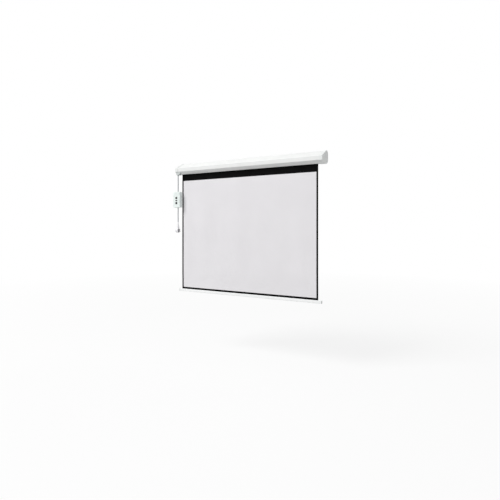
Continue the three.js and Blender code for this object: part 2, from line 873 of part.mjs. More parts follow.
// An end cap of the bar, with a tongue in the hollow.
function barCap(side) {
  const plate = slabX(
    raisedRectangle(
      bar_depth + 2 * bar_cap_lip,
      bar_height + 2 * bar_cap_lip,
      bar_corner_radius + bar_cap_lip,
      -bar_height / 2,
    ),
    [side * (bar_end_x - bar_cap_length), side * bar_end_x],
    bar_cap_lip,
  );
  const tongue = slabX(
    raisedRectangle(hollow_width - 2 * fit_gap, hollow_height - 2 * fit_gap, bar_wall, hollow_z),
    [side * (bar_end_x - bar_cap_length - bar_tongue_length), side * (bar_end_x - bar_cap_length / 2)],
  );
  return plate.add(tongue);
}

// The black border: a frame as large as the cloth, round the picture area.
function blackBorder() {
  const half = cloth_width / 2;
  const half_picture = picture_width / 2;
  const picture_top = case_bottom - top_border;
  const depths = [border_front, cloth_front];
  const window_depths = [border_front - cut_overrun, cloth_front + cut_overrun];
  const sheet = block([-half, half], depths, [cloth_bottom, cloth_top]);
  const window_heights = [picture_top - picture_height, picture_top];
  return sheet.subtract(block([-half_picture, half_picture], window_depths, window_heights));
}

// The gland under the left cap's lug: a neck through the lug and the case, a flange and a short ribbed taper.
function cordGland() {
  const flange_top = cap_bottom - fit_gap;
  const flange_bottom = flange_top - gland_flange_height;
  return turned(
    "z",
    [
      [0, gland_tip_z],
      ...ribbedTaper(
        [gland_tip_radius, gland_tip_z],
        [gland_top_radius, flange_bottom],
        gland_rib_count,
        gland_rib_depth,
      ),
      [gland_flange_radius, flange_bottom],
      [gland_flange_radius, flange_top],
      [gland_neck_radius, flange_top],
      [gland_neck_radius, gland_neck_top],
      [0, gland_neck_top],
    ],
    [cord_x, cord_y, 0],
    small_round_steps,
  );
}

// The motor's lead, from the gland's neck inside the case to the motor's head.
function motorLead() {
  const start = new THREE.Vector3(cord_x, cord_y, gland_neck_top + fit_gap);
  const boss_y = roller_y - motor_head_radius - lead_boss_height;
  const end = new THREE.Vector3(lead_x, boss_y - fit_gap, roller_height);
  const curve = new THREE.CubicBezierCurve3(
    start,
    start.clone().add(new THREE.Vector3(0, 0, lead_bend)),
    end.clone().add(new THREE.Vector3(0, -lead_bend, 0)),
    end,
  );
  return tubeAlong(curve, lead_radius, lead_sides, lead_steps);
}

// The two free stretches of the cord, as places below the piece that each one leaves.
const upper_cord_route = [
  [0, 0, 0],
  [0, 0, -8],
  [0.1, -0.1, -16],
  [0.3, -0.2, -25],
  [0.5, -0.3, -34],
  [0.7, -0.4, -43],
  [0.8, -0.5, -52],
  [0.9, -0.5, -62],
  [0.8, -0.5, -72],
  [0.7, -0.4, -82],
  [0.5, -0.3, -92],
  [0.3, -0.2, -102],
  [0.1, -0.1, -112],
  [0, 0, -121],
  [0, 0, -130],
];
const lower_cord_route = [
  [0, 0, 0],
  [0, 0, -8],
  [-0.1, 0.1, -16],
  [-0.3, 0.2, -24],
  [-0.5, 0.3, -32],
  [-0.7, 0.4, -40],
  [-0.9, 0.4, -48],
  [-0.9, 0.5, -56],
  [-0.8, 0.4, -64],
  [-0.6, 0.4, -72],
  [-0.4, 0.3, -81],
  [-0.2, 0.2, -90],
  [-0.1, 0.1, -98],
  [0, 0, -106],
  [0, 0, -114],
];
const cord_steps = 8;

// A free stretch of cord that leaves a place along its route.
function freeCord(route, exit) {
  const places = route.map((place) => new THREE.Vector3(...place).add(exit));
  return tubeAlong(new THREE.CatmullRomCurve3(places), cord_radius, cord_sides, cord_steps);
}

// How far a route falls from its first place to its last.
function routeFall(route) {
  return route[0][2] - route[route.length - 1][2];
}

// Heights down the cord: the upper stretch, the switch box, the lower stretch and the plug.
const upper_cord_z = gland_tip_z - fit_gap;
const box_top_z = upper_cord_z - routeFall(upper_cord_route) - fit_gap - box_gland_height;
const box_z = box_top_z - box_height / 2;
const lower_cord_z = box_top_z - box_height - box_gland_height - fit_gap;
const relief_top_z = lower_cord_z - routeFall(lower_cord_route) - fit_gap;
const plug_z = relief_top_z - relief_length - fit_gap - plug_neck_height;

// Places in the switch box, from the middle of its back face: the front is towards -Y.
const box_seam_y = -box_base_depth;
const lid_back_y = box_seam_y - box_seam;
const box_front_y = lid_back_y - box_lid_depth;
const lid_inside_y = box_front_y + box_wall;
const board_back_y = -board_depth;
const board_front_y = board_back_y - board_thickness;
const switch_top_y = board_front_y - switch_depth - plunger_height;
const box_outline = rectangleCorners(box_width, box_height, box_corner_radius);
const post_x = box_width / 2 - box_post_inset;
const post_z = box_height / 2 - box_post_inset;
const post_places = [[-post_x, -post_z], [post_x, -post_z], [post_x, post_z], [-post_x, post_z]];
const standoff_x = board_width / 2 - standoff_inset;
const standoff_z = board_height / 2 - standoff_inset;
const standoff_places = [
  [-standoff_x, -standoff_z],
  [standoff_x, -standoff_z],
  [standoff_x, standoff_z],
  [-standoff_x, standoff_z],
];
const head_seat_y = -box_screw_sink - box_screw_head_height - fit_gap;

// Bars along Y at a list of places in X and Z.
function barsAt(places, radius, depths) {
  return places.map(([x, z]) => rod("y", radius, depths, [x, 0, z], screw_round_steps));
}

// The holes for the two glands, through the top and the bottom of the box.
function boxGlandHoles() {
  const radius = cord_radius + box_gland_neck_wall + fit_gap;
  const past = box_height / 2 + cut_overrun;
  const depth = box_height / 2 - box_wall - cut_overrun;
  const offset = [box_cord_offset, -box_cord_depth, 0];
  return [[depth, past], [-past, -depth]].map((span) => rod("z", radius, span, offset, small_round_steps));
}

function boxBase() {
  const inside = offsetCorners(box_outline, -box_wall);
  const rim_outside = offsetCorners(box_outline, -box_wall - fit_gap);
  const rim_inside = offsetCorners(box_outline, -box_wall - fit_gap - box_rim_wall);
  const rim_top = box_seam_y - box_rim_height;
  const rim_foot = box_seam_y + box_rim_height;
  const blank = slabY(box_outline, [0, box_seam_y - cut_overrun], box_edge_radius);
  const front_waste = block(
    [-box_width, box_width],
    [box_seam_y, box_seam_y - 2 * cut_overrun],
    [-box_height, box_height],
  );
  const tray = cutBy(blank, [front_waste, slabY(inside, [-box_wall, box_seam_y - cut_overrun])]);
  const rim_core = slabY(rim_inside, [rim_foot + cut_overrun, rim_top - cut_overrun]);
  const rim = cutBy(
    joined([
      slabY(rim_outside, [rim_foot, rim_top]),
      slabY(offsetCorners(box_outline, -box_wall / 2), [rim_foot, box_seam_y]),
    ]),
    [rim_core, ...barsAt(post_places, box_post_radius + fit_gap, [box_seam_y, rim_top - cut_overrun])],
  );
  const posts = barsAt(post_places, box_post_radius, [-box_wall / 2, box_seam_y]);
  const standoffs = barsAt(standoff_places, standoff_radius, [-box_wall / 2, board_back_y + fit_gap]);
  const pins = barsAt(
    standoff_places,
    standoff_pin_radius,
    [board_back_y + fit_gap + box_wall, board_back_y - standoff_pin_length],
  );
  return cutBy(joined([tray, rim, ...posts, ...standoffs, ...pins]), [
    ...barsAt(post_places, box_screw_radius + fit_gap, [cut_overrun, box_seam_y - cut_overrun]),
    ...barsAt(post_places, box_screw_head_radius + fit_gap, [cut_overrun, head_seat_y]),
    ...boxGlandHoles(),
  ]);
}

// The three buttons, from the top: each one's name, height on the box, width, height and corner radius.
const buttons = [
  ["up", button_rise, arrow_button_side, arrow_button_side, arrow_button_corner],
  ["stop", button_rise - button_spacing, stop_button_width, stop_button_height, stop_button_corner],
  ["down", button_rise - 2 * button_spacing, arrow_button_side, arrow_button_side, arrow_button_corner],
].map(([name, z, width, height, corner]) => [name, z, raisedRectangle(width, height, corner, z)]);

function boxLid() {
  const inside = offsetCorners(box_outline, -box_wall);
  const blank = slabY(box_outline, [lid_back_y + 2 * box_edge_radius, box_front_y], box_edge_radius);
  const back_waste = block(
    [-box_width, box_width],
    [lid_back_y, lid_back_y + 2 * box_edge_radius + cut_overrun],
    [-box_height, box_height],
  );
  const tray = cutBy(blank, [back_waste, slabY(inside, [lid_back_y + cut_overrun, lid_inside_y])]);
  const posts = barsAt(post_places, box_post_radius, [lid_back_y, lid_inside_y - box_wall / 2]);
  const bezel_depths = [lid_inside_y - box_wall / 2, box_front_y - bezel_height];
  const bezels = buttons.map(([, , outline]) =>
    slabY(offsetCorners(outline, fit_gap + bezel_wall), bezel_depths),
  );
  const holes = buttons.map(([, , outline]) =>
    slabY(offsetCorners(outline, fit_gap), [lid_inside_y + cut_overrun, box_front_y - cut_overrun]),
  );
  const thread_depths = [lid_back_y + cut_overrun, lid_inside_y + box_screw_end - fit_gap - box_wall];
  const threads = barsAt(post_places, box_screw_radius + fit_gap, thread_depths);
  return cutBy(joined([tray, ...posts, ...bezels]), [...holes, ...threads]);
}

// A button with a flange behind the lid and a stem towards its switch.
function button(outline, z) {
  const stem_end = switch_top_y - button_travel - fit_gap;
  const flange_front = lid_inside_y + fit_gap;
  const flange_back = flange_front + button_flange_thickness;
  const front = box_front_y - button_proud;
  const stem_depths = [flange_back - button_flange_thickness / 2, stem_end];
  return joined([
    slabY(outline, [front, flange_back - fit_gap], button_edge_radius),
    slabY(offsetCorners(outline, button_flange_wall), [flange_front, flange_back]),
    rod("y", button_stem_radius, stem_depths, [0, 0, z], small_round_steps),
  ]);
}

function boxScrew() {
  const head_back = head_seat_y + fit_gap + box_screw_head_height;
  const shank_end = lid_inside_y + box_screw_end - box_wall;
  const body = turned(
    "y",
    [
      [0, shank_end],
      [box_screw_radius, shank_end],
      [box_screw_radius, head_seat_y + fit_gap],
      [box_screw_head_radius, head_seat_y + fit_gap],
      [box_screw_head_radius, head_back],
      [0, head_back],
    ],
    [0, 0, 0],
    screw_round_steps,
  );
  const half = cross_slot_width / 2;
  const arm = box_screw_head_radius / 2;
  const depths = [head_back - cross_slot_depth, head_back + cut_overrun];
  return cutBy(body, [
    block([-arm, arm], depths, [-half, half]),
    block([-half, half], depths, [-arm, arm]),
  ]);
}

function circuitBoard() {
  const half_width = board_width / 2;
  const half_height = board_height / 2;
  const plate = block([-half_width, half_width], [board_back_y, board_front_y], [-half_height, half_height]);
  const depths = [board_back_y + cut_overrun, board_front_y - cut_overrun];
  return cutBy(plate, barsAt(standoff_places, standoff_pin_radius + fit_gap, depths));
}

function relay(x) {
  const half_width = relay_width / 2;
  const half_height = relay_height / 2;
  return block(
    [x - half_width, x + half_width],
    [board_front_y, board_front_y - relay_depth],
    [relay_rise - half_height, relay_rise + half_height],
  );
}

function terminalBlock() {
  const half_width = terminal_width / 2;
  const half_height = terminal_height / 2;
  const front = board_front_y - terminal_depth;
  const body = block(
    [-half_width, half_width],
    [board_front_y, front],
    [terminal_rise - half_height, terminal_rise + half_height],
  );
  const pitch = terminal_width / terminal_hole_count;
  const places = Array.from({ length: terminal_hole_count }, (_, i) => [
    (i + 1 / 2) * pitch - half_width,
    terminal_rise,
  ]);
  const depths = [front - cut_overrun, front + terminal_depth / 2];
  return cutBy(body, barsAt(places, terminal_hole_radius, depths));
}

// A small push switch on the board, with its plunger towards the button.
function pushSwitch(z) {
  const half = switch_side / 2;
  const body_front = board_front_y - switch_depth;
  const body = block([-half, half], [board_front_y, body_front], [z - half, z + half]);
  const plunger_depths = [body_front + switch_depth / 2, switch_top_y];
  return body.add(rod("y", plunger_radius, plunger_depths, [0, 0, z], screw_round_steps));
}

// A gland on the box, standing up from a height in the direction given by its sign.
function boxGland(z, sign) {
  const tip = z + sign * box_gland_height;
  const flange = z + sign * fit_gap;
  const neck_end = z - sign * (box_wall + box_gland_neck);
  const neck = cord_radius + box_gland_neck_wall;
  const rim = flange + sign * box_wall;
  const profile = [
    [0, neck_end],
    [neck, neck_end],
    [neck, flange],
    [box_gland_radius, flange],
    [box_gland_radius, rim],
    [box_gland_tip_radius, tip],
    [0, tip],
  ];
  const offset = [box_cord_offset, -box_cord_depth, 0];
  return turned("z", sign > 0 ? profile : profile.reverse(), offset, small_round_steps);
}

// The plug, from the middle of its round body: the contact face looks towards +X and the cord enters above.
function plugBody() {
  const face = plug_face_setback;
  const dome = Array.from({ length: corner_steps * 2 + 1 }, (_, i) => {
    const angle = (Math.PI / 2) * (i / (corner_steps * 2));
    return [plug_radius * Math.sin(angle), -plug_dome_setback + plug_dome_run * (1 - Math.cos(angle))];
  });
  const body = turned("x", [
    ...dome,
    [plug_radius, face - plug_edge],
    [plug_radius - plug_edge, face],
    [0, face],
  ]);
  const neck = turned("z", [
    [0, 0],
    [plug_neck_bottom_radius, 0],
    [plug_neck_top_radius, plug_neck_height],
    [0, plug_neck_height],
  ]);
  const past_face = block(
    [face, face + plug_radius],
    [-plug_radius, plug_radius],
    [-plug_radius, plug_neck_height + cut_overrun],
  );
  const pocket = slabX(
    rectangleCorners(insert_width, insert_height, insert_corner_radius),
    [face - insert_depth, face + cut_overrun],
  );
  const bore_span = [face - pin_root - fit_gap, face + cut_overrun];
  const bores = pinPlaces().map((z) =>
    rod("x", pin_radius + fit_gap, bore_span, [0, 0, z], small_round_steps),
  );
  return cutBy(body.add(neck), [past_face, pocket, ...bores]);
}

// Heights of the two plug pins.
function pinPlaces() {
  return [pin_spacing / 2, -pin_spacing / 2];
}

function plugInsert() {
  const outline = rectangleCorners(insert_width, insert_height, insert_corner_radius);
  const span = [plug_face_setback - insert_depth + fit_gap, plug_face_setback + insert_proud];
  const plate = slabX(offsetCorners(outline, -fit_gap), span);
  const past = [span[0] - cut_overrun, span[1] + cut_overrun];
  const holes = pinPlaces().map((z) => rod("x", pin_radius + fit_gap, past, [0, 0, z], small_round_steps));
  return cutBy(plate, holes);
}

function plugPin(z) {
  const start = plug_face_setback - pin_root;
  const end = plug_face_setback + pin_length;
  const profile = [
    [0, start],
    [pin_radius, start],
    [pin_radius, end - pin_radius],
    [pin_radius * Math.SQRT1_2, end - pin_radius * (1 - Math.SQRT1_2)],
    [0, end],
  ];
  return turned("x", profile, [0, 0, z], small_round_steps);
}

function plugRelief() {
  const bottom = plug_neck_height + fit_gap;
  const top = bottom + relief_length;
  return turned(
    "z",
    [
      [0, bottom],
      ...ribbedTaper(
        [relief_bottom_radius, bottom],
        [relief_top_radius, top],
        relief_rib_count,
        relief_rib_depth,
      ),
      [0, top],
    ],
    [0, 0, 0],
    small_round_steps,
  );
}

// The assembly
const screen = new THREE.Group();

function addGroup(parent, x, y, z) {
  const group = new THREE.Group();
  group.position.set(x, y, z);
  parent.add(group);
  return group;
}

function addCase() {
  addPiece(screen, "case_shell", caseShell(), "white_paint");
  addPiece(screen, "left_end_cap", endCap(-1), "cap_plastic");
  addPiece(screen, "right_end_cap", endCap(1), "cap_plastic");
  addPiece(screen, "motor_bracket", motorBracket(), "zinc_steel");
  addPiece(screen, "idler_bracket", idlerBracket(), "zinc_steel");
  for (const [end, side] of [["left", -1], ["right", 1]]) {
    capScrewHeights().forEach((z, i) => {
      const seat = addGroup(screen, side * cap_screw_seat_x, -cap_screw_depth, z);
      seat.rotation.y = (side * Math.PI) / 2;
      addPiece(seat, `${end}_cap_screw_${i + 1}`, capScrew(), "zinc_steel");
    });
  }
}

function addRoller() {
  const line = addGroup(screen, 0, roller_y, roller_height);
  const motor_span = [motor_start_x, motor_end_x];
  const crown = ring(
    motor_radius + fit_gap,
    roller_bore - fit_gap,
    [roller_left_x, roller_left_x + crown_length],
  );
  const shaft_start = motor_end_x + fit_gap;
  const shaft_span = [shaft_start, shaft_start + shaft_length];
  const tube = ring(roller_bore, roller_radius, [roller_left_x, roller_right_x]);
  const pin_span = [roller_right_x - idler_plug_length, bracket_outer_x + idler_pin_end];
  addPiece(line, "motor_head", motorHead(), "black_plastic");
  addPiece(line, "motor_clip", motorClip(), "zinc_steel");
  addPiece(line, "motor_tube", rod("x", motor_radius, motor_span), "motor_steel");
  addPiece(line, "limit_crown", crown, "black_plastic");
  addPiece(line, "output_shaft", rod("x", shaft_radius, shaft_span), "zinc_steel");
  addPiece(line, "drive_wheel", driveWheel(), "black_plastic");
  addPiece(line, "roller_tube", tube, "roller_aluminium");
  addPiece(line, "roller_wrap", rollerWrap(), "black_cloth");
  addPiece(line, "idler_plug", idlerPlug(), "black_plastic");
  addPiece(line, "idler_pin", rod("x", idler_pin_radius, pin_span), "zinc_steel");
  addPiece(line, "idler_bush", idlerBush(), "bush_plastic");
}

function addScreen() {
  const half = cloth_width / 2;
  const cloth = block([-half, half], [cloth_front, cloth_back], [cloth_bottom, cloth_top]);
  addPiece(screen, "screen_fabric", cloth, "picture_cloth");
  addPiece(screen, "black_border", blackBorder(), "black_cloth");
  const bar = addGroup(screen, 0, bar_y, bar_top);
  const ballast_x = bar_end_x - bar_cap_length - bar_tongue_length - fit_gap;
  const ballast_z = hollow_bottom + fit_gap + ballast_radius;
  addPiece(bar, "weight_bar", weightBar(), "white_bar");
  addPiece(bar, "left_bar_cap", barCap(-1), "grey_plastic");
  addPiece(bar, "right_bar_cap", barCap(1), "grey_plastic");
  const hem_rod = rod("x", hem_rod_radius, [-half, half], [0, 0, hem_rod_z], small_round_steps);
  addPiece(bar, "hem_rod", hem_rod, "bush_plastic");
  const ballast = rod("x", ballast_radius, [-ballast_x, ballast_x], [0, 0, ballast_z], small_round_steps);
  addPiece(bar, "ballast_rod", ballast, "zinc_steel");
}

function addSwitchBox() {
  const box = addGroup(screen, cord_x - box_cord_offset, cord_y + box_cord_depth, box_z);
  addPiece(box, "switch_box_base", boxBase(), "box_plastic");
  addPiece(box, "switch_box_lid", boxLid(), "box_plastic");
  addPiece(box, "box_top_gland", boxGland(box_height / 2, 1), "grey_plastic");
  addPiece(box, "box_bottom_gland", boxGland(-box_height / 2, -1), "grey_plastic");
  addPiece(box, "circuit_board", circuitBoard(), "board_green");
  addPiece(box, "left_relay", relay(-relay_spacing / 2), "relay_blue");
  addPiece(box, "right_relay", relay(relay_spacing / 2), "relay_blue");
  addPiece(box, "terminal_block", terminalBlock(), "terminal_green");
  for (const [name, z, outline] of buttons) {
    addPiece(box, `${name}_button`, button(outline, z), "button_plastic");
    addPiece(box, `${name}_switch`, pushSwitch(z), "black_plastic");
  }
  post_places.forEach(([x, z], i) => {
    const place = addGroup(box, x, 0, z);
    addPiece(place, `box_screw_${i + 1}`, boxScrew(), "zinc_steel");
  });
}

function addCord() {
  addPiece(screen, "cord_gland", cordGland(), "grey_plastic");
  addPiece(screen, "motor_lead", motorLead(), "cord_sheath");
  const upper_exit = new THREE.Vector3(cord_x, cord_y, upper_cord_z);
  const lower_exit = new THREE.Vector3(cord_x, cord_y, lower_cord_z);
  addPiece(screen, "upper_cord", freeCord(upper_cord_route, upper_exit), "cord_sheath");
  addPiece(screen, "lower_cord", freeCord(lower_cord_route, lower_exit), "cord_sheath");
  const plug = addGroup(screen, cord_x, cord_y, plug_z);
  addPiece(plug, "plug_relief", plugRelief(), "plug_plastic");
  addPiece(plug, "plug_body", plugBody(), "plug_plastic");
  addPiece(plug, "plug_insert", plugInsert(), "dark_insert");
  const [upper_pin_z, lower_pin_z] = pinPlaces();
  addPiece(plug, "upper_plug_pin", plugPin(upper_pin_z), "nickel");
  addPiece(plug, "lower_plug_pin", plugPin(lower_pin_z), "nickel");
}

addCase();
addRoller();
addScreen();
addSwitchBox();
addCord();

export default screen;
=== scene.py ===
# The looks of a motorized projector screen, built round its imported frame, in metres. X runs along the case to
# the viewer's right, Y into the wall and Z up. The origin is on the case's flat back, level with the roller.
import json
import math

import bmesh
import bpy
from mathutils import Matrix, Vector


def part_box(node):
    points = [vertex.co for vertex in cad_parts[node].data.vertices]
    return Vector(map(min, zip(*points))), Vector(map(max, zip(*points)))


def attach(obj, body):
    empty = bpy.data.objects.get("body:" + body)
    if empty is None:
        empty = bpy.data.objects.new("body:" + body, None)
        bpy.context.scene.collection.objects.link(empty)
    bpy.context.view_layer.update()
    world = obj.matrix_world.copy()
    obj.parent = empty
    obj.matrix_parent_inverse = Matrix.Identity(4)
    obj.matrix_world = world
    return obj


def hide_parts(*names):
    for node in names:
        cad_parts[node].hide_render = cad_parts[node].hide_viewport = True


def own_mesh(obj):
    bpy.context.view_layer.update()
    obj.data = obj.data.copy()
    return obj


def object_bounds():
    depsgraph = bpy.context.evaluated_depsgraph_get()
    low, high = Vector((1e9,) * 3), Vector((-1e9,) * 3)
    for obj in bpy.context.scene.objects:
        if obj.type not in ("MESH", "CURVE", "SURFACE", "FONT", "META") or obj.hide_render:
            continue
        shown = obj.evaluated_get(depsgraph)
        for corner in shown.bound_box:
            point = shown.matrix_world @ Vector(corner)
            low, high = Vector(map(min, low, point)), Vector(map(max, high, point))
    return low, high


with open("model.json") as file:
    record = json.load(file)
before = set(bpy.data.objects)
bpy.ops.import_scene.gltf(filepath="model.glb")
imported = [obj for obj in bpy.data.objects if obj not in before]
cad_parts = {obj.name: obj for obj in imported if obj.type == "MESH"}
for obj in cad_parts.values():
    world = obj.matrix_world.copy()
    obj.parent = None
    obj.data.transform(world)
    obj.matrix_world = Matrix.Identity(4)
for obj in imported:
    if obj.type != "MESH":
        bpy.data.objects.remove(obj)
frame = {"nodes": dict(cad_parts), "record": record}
cad_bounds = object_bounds()

mm = 0.001
fit_gap = 0.3 * mm
overrun = 4 * mm
merge_distance = 0.002 * mm

# Widths of the softened edges of metal pieces, of moulded ones and of small ones
metal_edge = 0.3 * mm
moulded_edge = 0.25 * mm
small_edge = 0.2 * mm

# Steps in a rounded corner, a rounded edge, a large and a small full turn, a mark's corner and a cord's bend
corner_steps = 8
edge_steps = 4
turn_steps = 64
small_steps = 32
mark_steps = 3
cord_steps = 6

# The most of an edge that its two rounded corners may take up
corner_room_share = 0.96

# Turns across an edge, in degrees, from which it is rounded and from which it looks sharp
rounding_angle = 40
sharp_angle = 32

# Camera: where it stands, its turn to the left in radians, its lens and sensor in millimetres and its shift
camera_place = (1.7435, -2.9918, -0.5178)
camera_turn = 0.5253
camera_lens = 30.77
camera_sensor = 36
camera_shift = -0.0428

# Floor, light and background
floor_drop = 0.5
floor_radius = 14
floor_fade_start = 2.2
floor_fade_end = 7.0
floor_shadow_share = 0.8
floor_tone = 0.86
floor_bounce = 0.62
ambient_strength = 0.5
key_place = (-6.5, -10.1, 11.2)
key_size = 7.0
key_power = 2020
back_place = (3.2, 5.5, 3.0)
back_size = 3.0
back_power = 42

# Finishes: the levels of noise that count, a grain's detail and the wave scale that gives one wave a metre
noise_span = (0.3, 0.7)
patch_span = (0.35, 0.65)
grain_detail = 3.0
least_roughness = 0.02
wave_scale = math.pi / 10
thread_waver = 0.4

# Case and end caps
case_wall = 1.5 * mm
front_face_height = 32 * mm
lower_slope_rise = 25 * mm
lower_slope_run = 34 * mm
upper_slope_run = 84 * mm
case_back_rise = 13 * mm
back_top_radius = 30 * mm
back_bottom_radius = 34 * mm
front_lower_radius = 4 * mm
front_upper_radius = 6 * mm
top_corner_radius = 8 * mm
slot_corner_radius = 3 * mm
slot_width = 12 * mm
slot_lip_height = 6 * mm
lip_radius = 2.9 * mm
cap_wall = 1.7 * mm
cap_plate = 3 * mm
cap_edge_radius = 2.5 * mm
cap_mouth_radius = 0.6 * mm
cap_back_relief = 16 * mm
cap_panel_inset = 8 * mm
cap_panel_depth = 0.8 * mm
cap_panel_radius = 0.5 * mm
cap_boss_radius = 5 * mm
cap_boss_reach = 9.7 * mm
cap_hole_reach = 40 * mm
keyhole_setback = 34.5 * mm
keyhole_head_radius = 5 * mm
keyhole_slot_width = 5.4 * mm
keyhole_rise = 12 * mm
gland_lug_left = 11 * mm
gland_lug_right = 16 * mm
gland_lug_reach = 39 * mm
gland_lug_depth = 20 * mm
gland_lug_corner = 4 * mm
gland_lug_edge = 0.8 * mm
gland_neck_radius = 4.7 * mm

# Screws
screw_head_height = 2.2 * mm
screw_edge = 0.3 * mm
screw_radius_share = 0.55
thread_pitch = 0.8 * mm
thread_depth = 0.2 * mm
cross_width = 1 * mm
cross_depth = 1.1 * mm
cross_arm_share = 0.55
cap_screw_hole_radius = 2.3 * mm
box_screw_hole_radius = 1.8 * mm
box_screw_head_room = 3.1 * mm

# Roller, cloth and weight bar
roller_wall = 1 * mm
picture_width = 1219 * mm
picture_height = 914 * mm
top_border = 53 * mm
cloth_cell_width = 12 * mm
cloth_cell_height = 20 * mm
ripple_height = 0.9 * mm
ripple_length = 310 * mm
ripple_calm = 80 * mm
ripple_top_gap = 20 * mm
ripple_start = 0.5
second_ripple_share = 0.6
second_length_share = 0.57
lean_share = 0.3
lean_length_share = 3
wrap_pitch = 0.9 * mm
wrap_turns = 1.5
bar_wall = 1.2 * mm
bar_corner_radius = 3.5 * mm
bar_groove_width = 2.6 * mm
bar_cap_plate = 3 * mm
bar_cap_lip = 0.6 * mm
bar_cap_edge = 1 * mm
bar_tongue_length = 10 * mm

# Cord and glands
cord_radius = 3.5 * mm
gland_flange_height = 2.5 * mm
gland_rib_count = 2
gland_rib_depth = 0.6 * mm
gland_flange_radius = 10 * mm
gland_top_radius = 9.6 * mm
gland_tip_radius = 8.4 * mm
gland_edge = 0.5 * mm
box_gland_rim = 2.2 * mm
box_gland_neck_wall = 1.2 * mm
box_gland_shoulder = 0.8 * mm
box_gland_shoulder_height = 1.2 * mm
box_gland_tip_radius = 4.6 * mm
relief_rib_count = 5
relief_rib_depth = 0.8 * mm
relief_top_radius = 4.6 * mm
relief_bottom_radius = 7 * mm

# Switch box and its buttons
box_wall = 2.2 * mm
box_corner_radius = 7 * mm
box_edge_radius = 2 * mm
box_rim_wall = 1.2 * mm
box_rim_height = 3 * mm
post_radius = 4.5 * mm
post_inset = 6.2 * mm
bezel_wall = 2 * mm
bezel_height = 0.8 * mm
bezel_edge_radius = 0.5 * mm
button_flange_wall = 1.6 * mm
button_flange_thickness = 1.5 * mm
button_edge_radius = 0.8 * mm
button_stem_radius = 2.5 * mm
arrow_button_corner = 5 * mm
stop_button_corner = 3 * mm
button_mark_depth = 0.3 * mm
button_mark_reach = 3.4 * mm
button_corners = {
    "up_button": arrow_button_corner,
    "stop_button": stop_button_corner,
    "down_button": arrow_button_corner,
}

# Corners of the mark sunk in each button, to the right and up, in shares of its reach
button_marks = {
    "up_button": [(-1, -0.6), (1, -0.6), (0, 0.9)],
    "stop_button": [(-0.6, -0.6), (0.6, -0.6), (0.6, 0.6), (-0.6, 0.6)],
    "down_button": [(0, -0.9), (1, 0.6), (-1, 0.6)],
}

# Plug
plug_radius = 19 * mm
plug_edge = 1.5 * mm
plug_dome_run = 22 * mm
plug_neck_height = 40.3 * mm
plug_neck_top_radius = 8 * mm
plug_neck_bottom_radius = 13 * mm
plug_blend = 0.8 * mm
plug_blend_angle = 35
plug_blend_steps = 3
insert_corner_radius = 5 * mm
insert_depth = 3 * mm
pin_root = 8 * mm
pin_tip_share = 0.4
pin_tip_edge = 0.8 * mm

# How far the upper cord runs on into the switch box, through its gland
cord_tail = 21 * mm

# The free stretches of the cord, in millimetres to the right, back and down from the piece each one leaves
upper_cord_route = [
    (0, 0, 0), (0, 0, 8), (0.1, -0.1, 16), (0.3, -0.2, 25), (0.5, -0.3, 34), (0.7, -0.4, 43), (0.8, -0.5, 52),
    (0.9, -0.5, 62), (0.8, -0.5, 72), (0.7, -0.4, 82), (0.5, -0.3, 92), (0.3, -0.2, 102), (0.1, -0.1, 112),
    (0, 0, 121), (0, 0, 130),
]
lower_cord_route = [
    (0, 0, 0), (0, 0, 8), (-0.1, 0.1, 16), (-0.3, 0.2, 24), (-0.5, 0.3, 32), (-0.7, 0.4, 40), (-0.9, 0.4, 48),
    (-0.9, 0.5, 56), (-0.8, 0.4, 64), (-0.6, 0.4, 72), (-0.4, 0.3, 81), (-0.2, 0.2, 90), (-0.1, 0.1, 98),
    (0, 0, 106), (0, 0, 114),
]

# Heights of the case's bottom at the slot's front and of the weight bar's top, and the line the cord hangs on
case_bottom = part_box("left_end_cap")[0].z + cap_wall + fit_gap
bar_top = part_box("weight_bar")[1].z
cord_line = sum(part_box("cord_gland"), Vector()) / 2
cord_line.z = 0


def linear(colour):
    """A display colour as the linear values that a shader takes."""
    return [c / 12.92 if c <= 0.04045 else ((c + 0.055) / 1.055) ** 2.4 for c in colour]


def add_node(tree, kind, sockets=None, **settings):
    """Adds a shader node. sockets maps an input's name or number to a value or to another node's output."""
    made = tree.nodes.new(kind)
    for name, value in settings.items():
        setattr(made, name, value)
    for name, value in (sockets or {}).items():
        socket = made.inputs[name]
        if isinstance(value, bpy.types.NodeSocket):
            tree.links.new(value, socket)
        else:
            socket.default_value = value
    return made


def add_noise(tree, place, size, detail=2.0):
    """Noise with features of a size in metres, from 0 to 1."""
    sockets = {"Vector": place, "Scale": 1 / size, "Detail": detail}
    return add_node(tree, "ShaderNodeTexNoise", sockets).outputs["Fac"]


def add_range(tree, value, low, high, span=noise_span):
    """Maps a value within a span to low and high."""
    sockets = {"Value": value, "From Min": span[0], "From Max": span[1], "To Min": low, "To Max": high}
    return add_node(tree, "ShaderNodeMapRange", sockets).outputs["Result"]


def add_threads(tree, place, pitch):
    """The height of a plain weave in X and Z: one thread each way to a pitch in metres."""
    sockets = {"Vector": place, "Scale": wave_scale / pitch, "Distortion": thread_waver}
    waves = [add_node(tree, "ShaderNodeTexWave", sockets, bands_direction=way).outputs["Fac"] for way in "XZ"]
    return add_node(tree, "ShaderNodeMath", dict(enumerate(waves)), operation="MULTIPLY").outputs[0]


